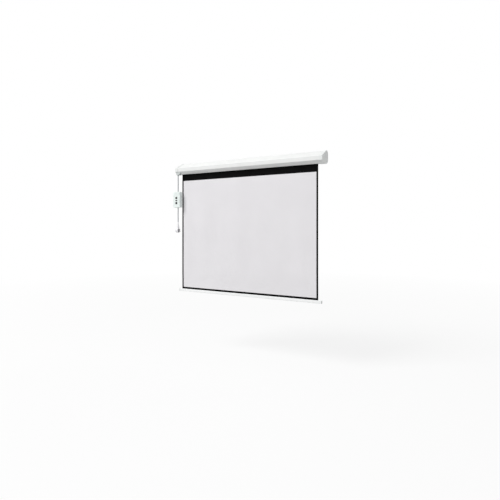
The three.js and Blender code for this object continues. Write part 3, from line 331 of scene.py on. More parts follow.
def finish(
    name, colour, roughness, metallic=0.0, specular=0.5, coat=0.0, tint=0.02, patch=90 * mm,
    grain=0.6 * mm, relief=0.01 * mm, spread=0.05, stretch=(1, 1, 1), weave=0.0,
):
    """A material: its colour varies by a tint over patches, its roughness by a spread, and its grain or weave
    stands up by a relief."""
    made = bpy.data.materials.new(name)
    made.use_nodes = True
    tree = made.node_tree
    shader = tree.nodes["Principled BSDF"]
    place = add_node(tree, "ShaderNodeTexCoord").outputs["Object"]
    stretched = add_node(tree, "ShaderNodeMapping", {"Vector": place, "Scale": stretch}).outputs["Vector"]
    ramp = add_node(tree, "ShaderNodeValToRGB", {"Fac": add_noise(tree, place, patch)})
    for element, position, share in zip(ramp.color_ramp.elements, patch_span, (1 - tint, 1 + tint)):
        element.position = position
        element.color = [min(c * share, 1) for c in linear(colour)] + [1]
    tree.links.new(ramp.outputs["Color"], shader.inputs["Base Color"])
    fine = add_noise(tree, stretched, grain, grain_detail)
    rough = add_range(tree, fine, max(roughness - spread, least_roughness), min(roughness + spread, 1))
    tree.links.new(rough, shader.inputs["Roughness"])
    height = add_threads(tree, place, weave) if weave else fine
    bump = add_node(tree, "ShaderNodeBump", {"Height": height, "Distance": relief})
    tree.links.new(bump.outputs["Normal"], shader.inputs["Normal"])
    shader.inputs["Metallic"].default_value = metallic
    shader.inputs["Specular IOR Level"].default_value = specular
    shader.inputs["Coat Weight"].default_value = coat
    return made


def make_finishes():
    """Every finish, by the name of its slot in the record: colour, roughness and what sets it apart."""
    painted = {"grain": 1.6 * mm, "relief": 0.03 * mm}
    woven = {"weave": 0.9 * mm, "relief": 0.03 * mm}
    drawn = {"metallic": 1, "stretch": (1, 30, 30), "spread": 0.12}
    table = {
        "white_paint": ((0.905, 0.91, 0.905), 0.42, painted),
        "cap_plastic": ((0.895, 0.905, 0.90), 0.5, {"relief": 0.02 * mm}),
        "picture_cloth": (
            (0.895, 0.888, 0.898), 0.92, woven | {"specular": 0.15, "tint": 0.012, "patch": 260 * mm},
        ),
        "black_cloth": ((0.06, 0.06, 0.06), 0.95, woven | {"specular": 0.04, "tint": 0.15}),
        "white_bar": ((0.955, 0.96, 0.96), 0.36, painted | {"relief": 0.02 * mm}),
        "grey_plastic": ((0.77, 0.79, 0.785), 0.48, {"relief": 0.02 * mm}),
        "box_plastic": ((0.905, 0.935, 0.925), 0.42, {"relief": 0.015 * mm}),
        "button_plastic": ((0.17, 0.17, 0.18), 0.4, {}),
        "cord_sheath": ((0.52, 0.54, 0.565), 0.55, {"grain": 1.2 * mm, "relief": 0.03 * mm}),
        "plug_plastic": ((0.92, 0.92, 0.93), 0.3, {"coat": 0.2}),
        "dark_insert": ((0.56, 0.55, 0.58), 0.55, {}),
        "zinc_steel": ((0.73, 0.74, 0.75), 0.32, {"metallic": 1, "patch": 9 * mm, "tint": 0.08}),
        "roller_aluminium": ((0.79, 0.80, 0.81), 0.3, drawn),
        "motor_steel": ((0.60, 0.61, 0.63), 0.36, drawn),
        "black_plastic": ((0.14, 0.14, 0.14), 0.55, {"relief": 0.03 * mm}),
        "bush_plastic": ((0.87, 0.865, 0.83), 0.5, {}),
        "board_green": ((0.12, 0.42, 0.23), 0.45, {"tint": 0.3, "patch": 3 * mm}),
        "relay_blue": ((0.18, 0.37, 0.62), 0.4, {}),
        "terminal_green": ((0.24, 0.56, 0.35), 0.5, {}),
        "nickel": ((0.81, 0.81, 0.79), 0.2, {"metallic": 1, "patch": 4 * mm, "tint": 0.04}),
    }
    return {name: finish(name, colour, rough, **rest) for name, (colour, rough, rest) in table.items()}


def moved(corners, amounts):
    """The same (u, v, radius) corners, with the edge that each one starts moved outwards by its amount."""
    count = len(corners)
    edges = []
    for i, (u, v, _) in enumerate(corners):
        end_u, end_v, _ = corners[(i + 1) % count]
        direction = Vector((end_u - u, end_v - v)).normalized()
        start = Vector((u + direction.y * amounts[i], v - direction.x * amounts[i]))
        edges.append((start, direction))
    found = []
    for i, (_, _, radius) in enumerate(corners):
        (a, d), (b, e) = edges[i - 1], edges[i]
        point = a + d * ((b - a).cross(e) / d.cross(e))
        rounded = radius + max(amounts[i - 1], amounts[i])
        found.append((point.x, point.y, max(rounded, fit_gap) if radius > 0 else 0))
    return found


def grown(corners, amount):
    """The same corners with every edge moved outwards alike."""
    return moved(corners, [amount] * len(corners))


def corner_reaches(places, radii):
    """How far each rounded corner reaches along its edges, shared out where two corners would meet."""
    count = len(places)
    wanted = []
    for i, radius in enumerate(radii):
        back, on = places[i - 1] - places[i], places[(i + 1) % count] - places[i]
        wanted.append(radius / math.tan(back.angle(on) / 2) if radius > 0 else 0.0)
    reaches = []
    for i, reach in enumerate(wanted):
        share = 1.0
        for a, b in ((i - 1, i), (i, (i + 1) % count)):
            room = (places[b] - places[a]).length * corner_room_share
            share = min(share, room / max(wanted[a] + wanted[b], room))
        reaches.append(reach * share)
    return reaches


def arc_points(before, corner, after, reach, steps):
    """The points of the arc that rounds a corner and reaches some way towards both neighbours."""
    back, on = (before - corner).normalized(), (after - corner).normalized()
    half = back.angle(on) / 2
    centre = corner + (back + on).normalized() * (reach / math.cos(half))
    start = corner + back * reach - centre
    turn = (math.pi - 2 * half) * (1 if (-back).cross(on) > 0 else -1)
    return [centre + Matrix.Rotation(turn * k / steps, 2) @ start for k in range(steps + 1)]


def outline(corners, steps=corner_steps):
    """Points round a closed outline through counter-clockwise corners, each rounded by an arc."""
    places = [Vector((u, v)) for u, v, _ in corners]
    reaches = corner_reaches(places, [radius for _, _, radius in corners])
    points = []
    for i, reach in enumerate(reaches):
        if reach > 0:
            points += arc_points(places[i - 1], places[i], places[(i + 1) % len(places)], reach, steps)
        else:
            points += [places[i]] * (steps + 1)
    return points


def open_line(line, radii, steps=edge_steps):
    """Points along an open line whose corners are rounded by their radii."""
    places = [Vector(p) for p in line]
    reaches = corner_reaches(places, [0, *radii, 0])
    points = [places[0]]
    for i, reach in list(enumerate(reaches))[1:-1]:
        points += arc_points(*places[i - 1 : i + 2], reach, steps) if reach else [places[i]]
    return points + [places[-1]]


def eased(line, radius, steps=edge_steps):
    """An open line of (a, b) points with every inner corner rounded alike."""
    return open_line(line, [radius] * (len(line) - 2), steps)


def rectangle(start, end, radius=0):
    """Corners of a rounded rectangle from one corner to the opposite one, counter-clockwise."""
    (u0, v0), (u1, v1) = start, end
    return [(u0, v0, radius), (u1, v0, radius), (u1, v1, radius), (u0, v1, radius)]


def lifted(points, axis, place):
    """Flat points as points in space, on a plane square to an axis."""
    index = "xyz".index(axis)
    return [Vector((*point[:index], place, *point[index:])) for point in points]


def circle(radius, steps=turn_steps):
    """Points round a circle about the origin, counter-clockwise."""
    angles = [2 * math.pi * k / steps for k in range(steps)]
    return [(radius * math.cos(t), radius * math.sin(t)) for t in angles]


def added(name, data):
    """A new object in the scene."""
    made = bpy.data.objects.new(name, data)
    bpy.context.scene.collection.objects.link(made)
    return made


def new_piece(name, points, faces):
    """A mesh object from faces and their points, with doubled points merged and its faces pointing out."""
    build = bmesh.new()
    made = {i: build.verts.new(points[i]) for i in sorted({i for face in faces for i in face})}
    for face in faces:
        build.faces.new([made[i] for i in face])
    bmesh.ops.remove_doubles(build, verts=build.verts, dist=merge_distance)
    bmesh.ops.recalc_face_normals(build, faces=build.faces)
    mesh = bpy.data.meshes.new(name)
    build.to_mesh(mesh)
    build.free()
    return added(name, mesh)


def skinned(name, rings, closed=False):
    """A solid skin over rings of points, filled at both ends, or joined end to end when it is closed."""
    count = len(rings[0])
    points = [p for ring in rings for p in ring]
    faces = []
    for r in range(len(rings) if closed else len(rings) - 1):
        a, b = r * count, (r + 1) % len(rings) * count
        faces += [(a + i, a + (i + 1) % count, b + (i + 1) % count, b + i) for i in range(count)]
    if not closed:
        faces += [tuple(range(count)), tuple(range(len(points) - count, len(points)))]
    return new_piece(name, points, faces)


def rounded_end(place, way, radius, steps=edge_steps):
    """Rows of (place, growth of the section) over a rounded end, from its flat face. way points inwards."""
    angles = [math.pi / 2 * k / steps for k in range(steps + 1)] if radius else [math.pi / 2]
    return [(place + way * radius * (1 - math.cos(t)), radius * (math.sin(t) - 1)) for t in angles]


def slab(name, corners, axis, span, edges=(0, 0), steps=corner_steps):
    """A solid of constant section between two places on an axis, with the edges of its two ends rounded."""
    start, end = span
    way = 1 if end > start else -1
    rows = rounded_end(start, way, edges[0]) + rounded_end(end, -way, edges[1])[::-1]
    return skinned(name, [lifted(outline(grown(corners, grow), steps), axis, place) for place, grow in rows])


def turned(name, profile, axis, centre=(0, 0, 0), steps=turn_steps):
    """A solid of revolution: its profile is (radius, place along the axis) points from end to end."""
    rings = [lifted(circle(radius, steps), axis, along) for radius, along in profile]
    return skinned(name, [[p + Vector(centre) for p in ring] for ring in rings])


def rod(name, radius, axis, span, centre=(0, 0, 0), edge=0.0, steps=small_steps):
    """A round bar along an axis, with both ends' edges rounded when an edge radius is given."""
    start, end = sorted(span)
    line = [(0, start), (radius, start), (radius, end), (0, end)]
    return turned(name, eased(line, edge) if edge else line, axis, centre, steps)


def block(name, low, high):
    """A block between two corners, used to cut with."""
    return slab(name, rectangle(low[:2], high[:2]), "z", (low[2], high[2]), steps=1)


def baked(piece):
    """Turns a piece's modifiers into its mesh."""
    view = bpy.context.evaluated_depsgraph_get()
    view.update()
    mesh = bpy.data.meshes.new_from_object(piece.evaluated_get(view))
    piece.modifiers.clear()
    old = piece.data
    piece.data = mesh
    bpy.data.meshes.remove(old)
    mesh.name = piece.name
    return piece


def combined(piece, others, operation):
    """Joins other pieces to a piece, or cuts them out of it, and removes them."""
    for other in others:
        step = piece.modifiers.new("combine", "BOOLEAN")
        step.operation = operation
        step.solver = "EXACT"
        step.object = other
        baked(piece)
        mesh = other.data
        bpy.data.objects.remove(other)
        bpy.data.meshes.remove(mesh)
    return piece


def joined(piece, others):
    return combined(piece, others, "UNION")


def cut(piece, others):
    return combined(piece, others, "DIFFERENCE")


def softened(piece, width=metal_edge, angle=rounding_angle, steps=2):
    """Rounds a piece's sharp edges."""
    step = piece.modifiers.new("soft edges", "BEVEL")
    step.width = width
    step.segments = steps
    step.limit_method = "ANGLE"
    step.angle_limit = math.radians(angle)
    step.use_clamp_overlap = True
    return baked(piece)


def settled(piece, body, slot, *nodes):
    """Gives a piece its finish and its body, and hides the nodes that it stands for."""
    piece.data.materials.clear()
    piece.data.materials.append(finishes[slot])
    if piece.type == "MESH":
        piece.data.shade_smooth()
        piece.data.set_sharp_from_angle(angle=math.radians(sharp_angle))
        step = piece.modifiers.new("even shading", "WEIGHTED_NORMAL")
        step.keep_sharp = True
    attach(piece, body)
    if nodes:
        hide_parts(*nodes)
    return piece


def make_camera():
    data = bpy.data.cameras.new("camera")
    data.sensor_width = camera_sensor
    data.lens = camera_lens
    data.shift_y = camera_shift
    camera = added("camera", data)
    camera.location = camera_place
    camera.rotation_euler = (math.pi / 2, 0, camera_turn)
    bpy.context.scene.camera = camera


def make_cord(name, route, node, tail=0.0):
    """A stretch of cord that leaves the top of its node along a route and runs on straight down by a tail."""
    places = [Vector((right * mm, back * mm, -down * mm)) for right, back, down in route]
    if tail:
        places += [places[-1] - Vector((0, 0, tail * share)) for share in (1 / 2, 1)]
    data = bpy.data.curves.new(name, "CURVE")
    data.dimensions = "3D"
    data.bevel_depth = cord_radius
    data.bevel_resolution = cord_steps
    data.resolution_u = cord_steps
    data.use_fill_caps = True
    spline = data.splines.new("BEZIER")
    spline.bezier_points.add(len(places) - 1)
    for point, place in zip(spline.bezier_points, places):
        point.co = place + cord_exit(node)
        point.handle_left_type = "AUTO"
        point.handle_right_type = "AUTO"
    return settled(added(name, data), "case", "cord_sheath", node)


def measured(node):
    """A node's box, its middle and half its height, a round one's radius when it lies along X or Y."""
    low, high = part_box(node)
    return low, high, (low + high) / 2, (high.z - low.z) / 2


def cord_exit(node):
    """The top of a cord's node, on the line the cord hangs on."""
    return Vector((cord_line.x, cord_line.y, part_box(node)[1].z))


def ribbed(radii, places, ribs, depth):
    """Profile points of a tapered sleeve with round ribs, between two radii and two places."""
    count = ribs * 2 * edge_steps
    points = []
    for k in range(count + 1):
        share = k / count
        wave = (1 - math.cos(2 * math.pi * ribs * share)) / 2
        radius = radii[0] + (radii[1] - radii[0]) * share - depth * wave
        points.append((radius, places[0] + (places[1] - places[0]) * share))
    return points


def case_corners():
    """Corners of the case's section in Y and Z, from the front lip of the slot round the back."""
    low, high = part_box("case_shell")
    face_bottom = case_bottom + lower_slope_rise
    return [
        (low.y + lower_slope_run, case_bottom, slot_corner_radius),
        (high.y, case_bottom + case_back_rise, back_bottom_radius),
        (high.y, high.z, back_top_radius),
        (low.y + upper_slope_run, high.z, top_corner_radius),
        (low.y, face_bottom + front_face_height, front_upper_radius),
        (low.y, face_bottom, front_lower_radius),
    ]


def cap_corners():
    lip = cap_wall + fit_gap
    return moved(case_corners(), [lip, 0, lip, lip, lip, lip])


def keyhole_cutters(x):
    depths = (-2 * case_wall, overrun)
    half_slot = keyhole_slot_width / 2
    return [
        rod("cutter", keyhole_head_radius, "y", depths, (x, 0, 0)),
        rod("cutter", half_slot, "y", depths, (x, 0, keyhole_rise)),
        block("cutter", (x - half_slot, depths[0], 0), (x + half_slot, depths[1], keyhole_rise)),
    ]


def gland_cutter():
    low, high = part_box("cord_gland")
    return rod("cutter", gland_neck_radius + fit_gap, "z", (low.z, high.z + 2 * overrun), cord_line)


def build_case():
    """The case: one bent sheet, from the slot's back lip round the back and the front to its front lip."""
    low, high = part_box("case_shell")
    corners = case_corners()
    slot_front, bottom, _ = corners[0]
    slot_back = slot_front + slot_width
    bottom_at_back = bottom + slot_width * case_back_rise / (high.y - slot_front)
    lip_top = bottom + slot_lip_height
    bends = [(slot_back, bottom_at_back, lip_radius), *corners[1:], (slot_front, bottom, lip_radius)]
    line = [(slot_back, lip_top, 0), *bends, (slot_front, lip_top, 0)]

    def side(inset):
        """The bent line moved towards the inside of the case."""
        inner = moved(line, [-inset] * (len(line) - 1) + [0])
        return open_line([(u, v) for u, v, _ in inner], [r for _, _, r in inner[1:-1]], corner_steps)

    section = side(0) + side(case_wall)[::-1]
    piece = skinned("case_profile", [lifted(section, "x", x) for x in (low.x, high.x)])
    cutters = [gland_cutter()]
    for x in (low.x + keyhole_setback, high.x - keyhole_setback):
        cutters += keyhole_cutters(x)
    cut(piece, cutters)
    settled(softened(piece), "case", "white_paint", "case_shell")


def build_gland_lug():
    """The lug under the left cap that the cord's gland hangs from. It widens towards the case. Its grey, darker
    than the white cap above it, is painted shade: it stands for the shade under the left end of the case's
    lower slope.
    """
    low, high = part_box("left_end_cap")
    mouth = -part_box("right_end_cap")[0].x
    face_bottom = case_bottom + lower_slope_rise
    section = [
        (cord_line.x - gland_lug_left, low.z, gland_lug_corner),
        (cord_line.x + gland_lug_right, low.z, gland_lug_corner),
        (cord_line.x + gland_lug_reach, face_bottom, 0),
        (low.x + cap_edge_radius, face_bottom, 0),
    ]
    depths = (cord_line.y + gland_lug_depth / 2, cord_line.y - gland_lug_depth / 2)
    lug = slab("gland_lug_painted_shade", section, "y", depths, (gland_lug_edge, gland_lug_edge))
    cut(lug, [
        slab("cutter", cap_corners(), "x", (low.x - overrun, mouth)),
        slab("cutter", grown(case_corners(), fit_gap), "x", (mouth - overrun, high.x + overrun)),
        gland_cutter(),
    ])
    # The grey plastic finish here is painted shade under the left end of the case, not a colour of the cap's
    # own moulding.
    settled(softened(lug, moulded_edge), "case", "grey_plastic")


def side_name(side):
    return "right" if side > 0 else "left"


def build_end_cap(side):
    """An end cap: its skin runs from the sleeve's mouth over the rounded edge to the sunk panel."""
    name = side_name(side)
    low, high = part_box("right_end_cap")
    inner, outer = side * low.x, side * high.x
    plate = outer - side * cap_plate
    floor_x = outer - side * cap_panel_depth
    panel = [
        (outer, -cap_edge_radius - cap_panel_radius),
        (outer, -cap_panel_inset + cap_panel_radius),
        (floor_x, -cap_panel_inset),
        (floor_x, -cap_panel_inset - cap_panel_radius),
    ]
    rows = rounded_end(inner, side, cap_mouth_radius)
    rows += rounded_end(outer, -side, cap_edge_radius, 2 * edge_steps)[::-1]
    rows += eased(panel, cap_panel_radius / 2)
    rings = [lifted(outline(grown(cap_corners(), grow)), "x", place) for place, grow in rows]
    piece = skinned(f"{name}_cap_moulding", rings)
    hollow_span = (inner - side * overrun, plate)
    start, end = sorted(hollow_span)
    cut(piece, [
        slab("cutter", grown(case_corners(), fit_gap), "x", hollow_span),
        block("cutter", (start, -cap_back_relief, low.z - overrun), (end, overrun, high.z + overrun)),
    ])
    screws = [f"{name}_cap_screw_{i}" for i in (1, 2)]
    bosses, holes = [], [gland_cutter()] if side < 0 else []
    for screw in screws:
        screw_low, screw_high, middle, head_radius = measured(screw)
        seat = (screw_high.x if side > 0 else screw_low.x) - side * screw_head_height
        centre = (0, middle.y, middle.z)
        boss_span = (plate + side * fit_gap, plate - side * cap_boss_reach)
        bosses.append(rod("boss", cap_boss_radius, "x", boss_span, centre))
        past = outer + side * overrun
        hole_span = (outer - side * cap_hole_reach, past)
        holes.append(rod("cutter", cap_screw_hole_radius, "x", hole_span, centre))
        holes.append(rod("cutter", head_radius + fit_gap, "x", (seat, past), centre))
    cut(joined(piece, bosses), holes)
    settled(softened(piece, moulded_edge), "case", "cap_plastic", f"{name}_end_cap")
    for screw in screws:
        build_screw(screw, "x", side)


def build_screw(node, axis, way):
    """A pan-head screw in a node's place, along X or Y, whose cross faces in the direction of way."""
    low, high, middle, head_radius = measured(node)
    index = "xyz".index(axis)
    tip, top = (low[index], high[index])[::way]
    shank = head_radius * screw_radius_share
    seat = top - way * screw_head_height
    centre = list(middle)
    centre[index] = 0
    thread = []
    for k in range(max(int(abs(seat - tip) / thread_pitch) - 1, 1)):
        place = tip + way * (shank + k * thread_pitch)
        thread += [(shank - thread_depth, place), (shank, place + way * thread_pitch / 2)]
    edge = screw_head_height / 2
    rim = (head_radius, seat + way * edge)
    head = eased([(shank, seat), (head_radius, seat), rim, (head_radius - edge, top), (0, top)], screw_edge)
    line = [(0, tip), (shank / 2, tip), *[p for p in thread if (seat - p[1]) * way > 0], *head]
    piece = turned(f"{node}_turned", line, axis, centre, small_steps)
    arm = head_radius * cross_arm_share
    cutters = []
    for wide, tall in ((arm, cross_width / 2), (cross_width / 2, arm)):
        first, last = ([c + sign * r for c, r in zip(centre, (wide, wide, tall))] for sign in (-1, 1))
        first[index], last[index] = sorted((top - way * cross_depth, top + way * overrun))
        cutters.append(block("cutter", first, last))
    settled(cut(piece, cutters), "case", "zinc_steel", node)


def build_roller():
    """The roller tube and the spiral of black cloth on it."""
    low, high, middle, radius = measured("roller_tube")
    bore = radius - roller_wall
    centre = Vector((0, middle.y, middle.z))
    ends = ((radius, low.x), (radius, high.x), (bore, high.x), (bore, low.x))
    rings = [[p + centre for p in lifted(circle(reach), "x", x)] for reach, x in ends]
    tube = skinned("roller_tube_drawn", rings, closed=True)
    settled(tube, "roller", "roller_aluminium", "roller_tube")
    wrap_low, wrap_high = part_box("roller_wrap")
    outer_radius = middle.y - wrap_low.y
    sides = ([], [])
    for k in range(round(wrap_turns * turn_steps) + 1):
        turns = k / turn_steps
        angle = 2 * math.pi * turns
        for line, inset in zip(sides, (0, wrap_pitch - fit_gap)):
            reach = outer_radius - wrap_pitch * turns - inset
            line.append((middle.y - reach * math.cos(angle), middle.z + reach * math.sin(angle)))
    section = sides[0] + sides[1][::-1]
    wrap = skinned("wound_cloth", [lifted(section, "x", x) for x in (wrap_low.x, wrap_high.x)])
    settled(wrap, "roller", "black_cloth", "roller_wrap")


def ripple(x, z):
    """How far the cloth stands out towards the viewer: nothing near the slot and near the bar."""
    top = case_bottom - ripple_top_gap
    if z > top:
        return 0.0
    down = min((top - z) / ripple_calm, 1)
    up = min(max((z - bar_top) / ripple_calm - 1, 0), 1)
    calm = math.sin(math.pi / 2 * down) * math.sin(math.pi / 2 * up)
    turn = 2 * math.pi / ripple_length
    first = math.sin(turn * x + ripple_start) - 1
    second = math.sin(turn * x / second_length_share) - 1
    lean = 1 + lean_share * math.sin(turn * z / lean_length_share)
    return ripple_height * calm * (first + second_ripple_share * second) * lean


def grid_places(low, high, marks, spacing):
    """Places from low to high, about a spacing apart, that take in every mark."""
    stops = sorted({low, high, *marks})
    places = []
    for a, b in zip(stops, stops[1:]):
        count = max(round((b - a) / spacing), 1)
        places += [a + (b - a) * k / count for k in range(count)]
    return places + [high]


def hanging_sheet(name, xs, zs, front, back, open_at=None):
    """A thin sheet over a grid, following the ripple, with a window where open_at says so."""
    points, faces = [], []
    for y in (front, back):
        points += [Vector((x, y + ripple(x, z), z)) for z in zs for x in xs]
    wide, tall = len(xs), len(zs)
    layer = wide * tall

    def filled(i, j):
        if not (0 <= i < wide - 1 and 0 <= j < tall - 1):
            return False
        return not (open_at and open_at((xs[i] + xs[i + 1]) / 2, (zs[j] + zs[j + 1]) / 2))

    for j in range(tall - 1):
        for i in range(wide - 1):
            if not filled(i, j):
                continue
            a, b = j * wide + i, j * wide + i + 1
            c, d = b + wide, a + wide
            faces.append((a, b, c, d))
            faces.append((d + layer, c + layer, b + layer, a + layer))
            for di, dj, p, q in ((0, -1, a, b), (1, 0, b, c), (0, 1, c, d), (-1, 0, d, a)):
                if not filled(i + di, j + dj):
                    faces.append((p, p + layer, q + layer, q))
    return new_piece(name, points, faces)


def build_screen():
    """The hanging cloth and the black border printed on its front."""
    low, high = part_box("screen_fabric")
    border_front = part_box("black_border")[0].y
    half_picture = picture_width / 2
    picture_top = case_bottom - top_border
    picture_bottom = picture_top - picture_height
    xs = grid_places(low.x, high.x, (-half_picture, half_picture), cloth_cell_width)
    zs = grid_places(low.z, high.z, (picture_bottom, picture_top), cloth_cell_height)

    def in_picture(x, z):
        return abs(x) < half_picture and picture_bottom < z < picture_top

    cloth = hanging_sheet("picture_sheet", xs, zs, low.y, high.y)
    border = hanging_sheet("border_print", xs, zs, border_front, low.y, in_picture)
    settled(cloth, "case", "picture_cloth", "screen_fabric")
    settled(border, "case", "black_cloth", "black_border")
    for sheet in (cloth, border):
        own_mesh(sheet)


def build_bar():
    """The weight bar, its end caps and their tongues."""
    low, high, middle, _ = measured("weight_bar")
    rod_middle, rod_radius = measured("hem_rod")[2:]
    chamber = rod_radius + fit_gap
    hollow_top = rod_middle.z - chamber - bar_wall
    hollow = rectangle((low.y + bar_wall, low.z + bar_wall), (high.y - bar_wall, hollow_top), bar_wall)
    piece = slab("bar_profile", rectangle(low.yz, high.yz, bar_corner_radius), "x", (low.x, high.x))
    past = (low.x - overrun, high.x + overrun)
    half_groove = bar_groove_width / 2
    cut(piece, [
        block("cutter", (past[0], middle.y - half_groove, rod_middle.z),
              (past[1], middle.y + half_groove, high.z + overrun)),
        rod("cutter", chamber, "x", past, (0, rod_middle.y, rod_middle.z)),
        slab("cutter", hollow, "x", past),
    ])
    settled(softened(piece), "bar", "white_bar", "weight_bar")
    for side in (-1, 1):
        node = f"{side_name(side)}_bar_cap"
        cap_low, cap_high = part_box(node)
        end = cap_high.x if side > 0 else cap_low.x
        inner = end - side * bar_cap_plate
        plate_section = rectangle(cap_low.yz, cap_high.yz, bar_corner_radius + bar_cap_lip)
        edges = (bar_cap_lip / 2, bar_cap_edge)
        plate = slab(f"{side_name(side)}_bar_end", plate_section, "x", (inner, end), edges)
        tongue_span = (inner - side * bar_tongue_length, end - side * bar_cap_plate / 2)
        tongue = slab("tongue", grown(hollow, -fit_gap), "x", tongue_span)
        settled(joined(plate, [tongue]), "bar", "grey_plastic", node)


def build_glands():
    """The cord's gland under the left cap and the two on the switch box."""
    low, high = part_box("cord_gland")
    flange_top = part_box("left_end_cap")[0].z - fit_gap
    flange_bottom = flange_top - gland_flange_height
    sleeve_radii = (gland_tip_radius, gland_top_radius)
    flange = [
        (gland_top_radius, flange_bottom),
        (gland_flange_radius, flange_bottom),
        (gland_flange_radius, flange_top),
        (gland_neck_radius, flange_top),
        (gland_neck_radius, high.z),
        (0, high.z),
    ]
    sleeve = ribbed(sleeve_radii, (low.z, flange_bottom), gland_rib_count, gland_rib_depth)
    profile = [(0, low.z), *sleeve, *eased(flange, gland_edge)]
    gland = turned("cord_gland_ribbed", profile, "z", cord_line)
    settled(gland, "case", "grey_plastic", "cord_gland")
    box_low, box_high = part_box("switch_box_base")
    neck = cord_radius + box_gland_neck_wall
    for end, way, wall in (("top", 1, box_high.z), ("bottom", -1, box_low.z)):
        node = f"box_{end}_gland"
        gland_low, gland_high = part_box(node)
        radius = (gland_high.x - gland_low.x) / 2
        root, tip = (gland_low.z, gland_high.z)[::way]
        foot = wall + way * fit_gap
        rim = foot + way * box_gland_rim
        shoulder = (box_gland_tip_radius + box_gland_shoulder, rim + way * box_gland_shoulder_height)
        line = [(0, root), (neck, root), (neck, foot), (radius, foot), (radius, rim), shoulder]
        line += [(box_gland_tip_radius, tip), (0, tip)]
        piece = turned(f"{node}_moulded", eased(line, gland_edge), "z", cord_line)
        settled(piece, "case", "grey_plastic", node)


def gland_holes(low, high):
    radius = cord_radius + box_gland_neck_wall + fit_gap
    depth = box_wall + overrun
    spans = ((high.z - depth, high.z + overrun), (low.z - overrun, low.z + depth))
    return [rod("cutter", radius, "z", span, cord_line) for span in spans]


def build_box_base():
    """The back of the switch box: a tray with a rim at its seam, and posts for the screws."""
    low, high, middle, _ = measured("switch_box_base")
    corners = rectangle(low.xz, high.xz, box_corner_radius)
    back, rim_front = high.y, low.y
    seam = rim_front + box_rim_height
    rim_back = seam + box_rim_height
    past_front, past_back = rim_front - overrun, back + overrun
    tray = slab("box_back", corners, "y", (back, seam), (box_edge_radius, 0))
    cut(tray, [slab("cutter", grown(corners, -box_wall), "y", (back - box_wall, seam - overrun))])
    inset = box_wall + fit_gap
    rim = slab("rim", grown(corners, -inset), "y", (rim_back, rim_front))
    joined(rim, [slab("foot", grown(corners, -box_wall / 2), "y", (rim_back, seam))])
    core = grown(corners, -inset - box_rim_wall)
    cut(rim, [slab("cutter", core, "y", (rim_back + overrun, past_front))])
    post_x = (high.x - low.x) / 2 - post_inset
    post_z = (high.z - low.z) / 2 - post_inset
    places = [(middle.x + u * post_x, 0, middle.z + v * post_z) for u in (-1, 1) for v in (-1, 1)]
    cut(rim, [rod("cutter", post_radius + fit_gap, "y", (seam, past_front), place) for place in places])
    posts = [rod("post", post_radius, "y", (back - box_wall / 2, seam), place) for place in places]
    joined(tray, [rim, *posts])
    head_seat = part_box("box_screw_1")[1].y - screw_head_height - fit_gap
    holes = []
    for place in places:
        holes.append(rod("cutter", box_screw_hole_radius, "y", (past_back, seam - overrun), place))
        holes.append(rod("cutter", box_screw_head_room, "y", (past_back, head_seat), place))
    cut(tray, holes + gland_holes(low, high))
    settled(softened(tray, moulded_edge), "case", "box_plastic", "switch_box_base")


def build_box_lid():
    """The front of the switch box, with a raised bezel round each button."""
    low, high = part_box("switch_box_lid")
    corners = rectangle(low.xz, high.xz, box_corner_radius)
    back = high.y
    front = low.y + bezel_height
    inside = front + box_wall
    lid = slab("box_front", corners, "y", (back, front), (fit_gap, box_edge_radius))
    cut(lid, [slab("cutter", grown(corners, -box_wall), "y", (back + overrun, inside))])
    faces = [button_outline(node) for node in button_corners]
    bezel_span, hole_span = (inside - box_wall / 2, low.y), (inside + overrun, low.y - overrun)
    edges = (0, bezel_edge_radius)
    joined(lid, [slab("bezel", grown(face, fit_gap + bezel_wall), "y", bezel_span, edges) for face in faces])
    cut(lid, [slab("cutter", grown(face, fit_gap), "y", hole_span) for face in faces])
    settled(softened(lid, moulded_edge), "case", "box_plastic", "switch_box_lid")


def button_outline(node):
    """The outline of a button's face in X and Z: its flange behind the lid is wider."""
    low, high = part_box(node)
    inset = Vector((button_flange_wall, button_flange_wall))
    return rectangle(low.xz + inset, high.xz - inset, button_corners[node])


def build_button(node):
    """A button with a rounded front edge and a sunk mark."""
    low, high, middle, _ = measured(node)
    face = button_outline(node)
    flange_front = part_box("switch_box_lid")[0].y + bezel_height + box_wall + fit_gap
    flange_back = flange_front + button_flange_thickness
    piece = slab(f"{node}_cap", face, "y", (flange_back - fit_gap, low.y), (0, button_edge_radius))
    flange = slab("flange", grown(face, button_flange_wall), "y", (flange_back, flange_front))
    stem_span = (flange_back - button_flange_thickness / 2, high.y)
    stem = rod("stem", button_stem_radius, "y", stem_span, (middle.x, 0, middle.z))
    joined(piece, [flange, stem])
    reach = button_mark_reach
    shape = [(middle.x + u * reach, middle.z + v * reach, fit_gap) for u, v in button_marks[node]]
    mark_span = (low.y - overrun, low.y + button_mark_depth)
    cut(piece, [slab("cutter", shape, "y", mark_span, steps=mark_steps)])
    settled(softened(piece, small_edge), node, "button_plastic", node)


def build_switch_box():
    build_box_base()
    build_box_lid()
    for node in button_marks:
        build_button(node)
    for i in (1, 2, 3, 4):
        build_screw(f"box_screw_{i}", "y", 1)


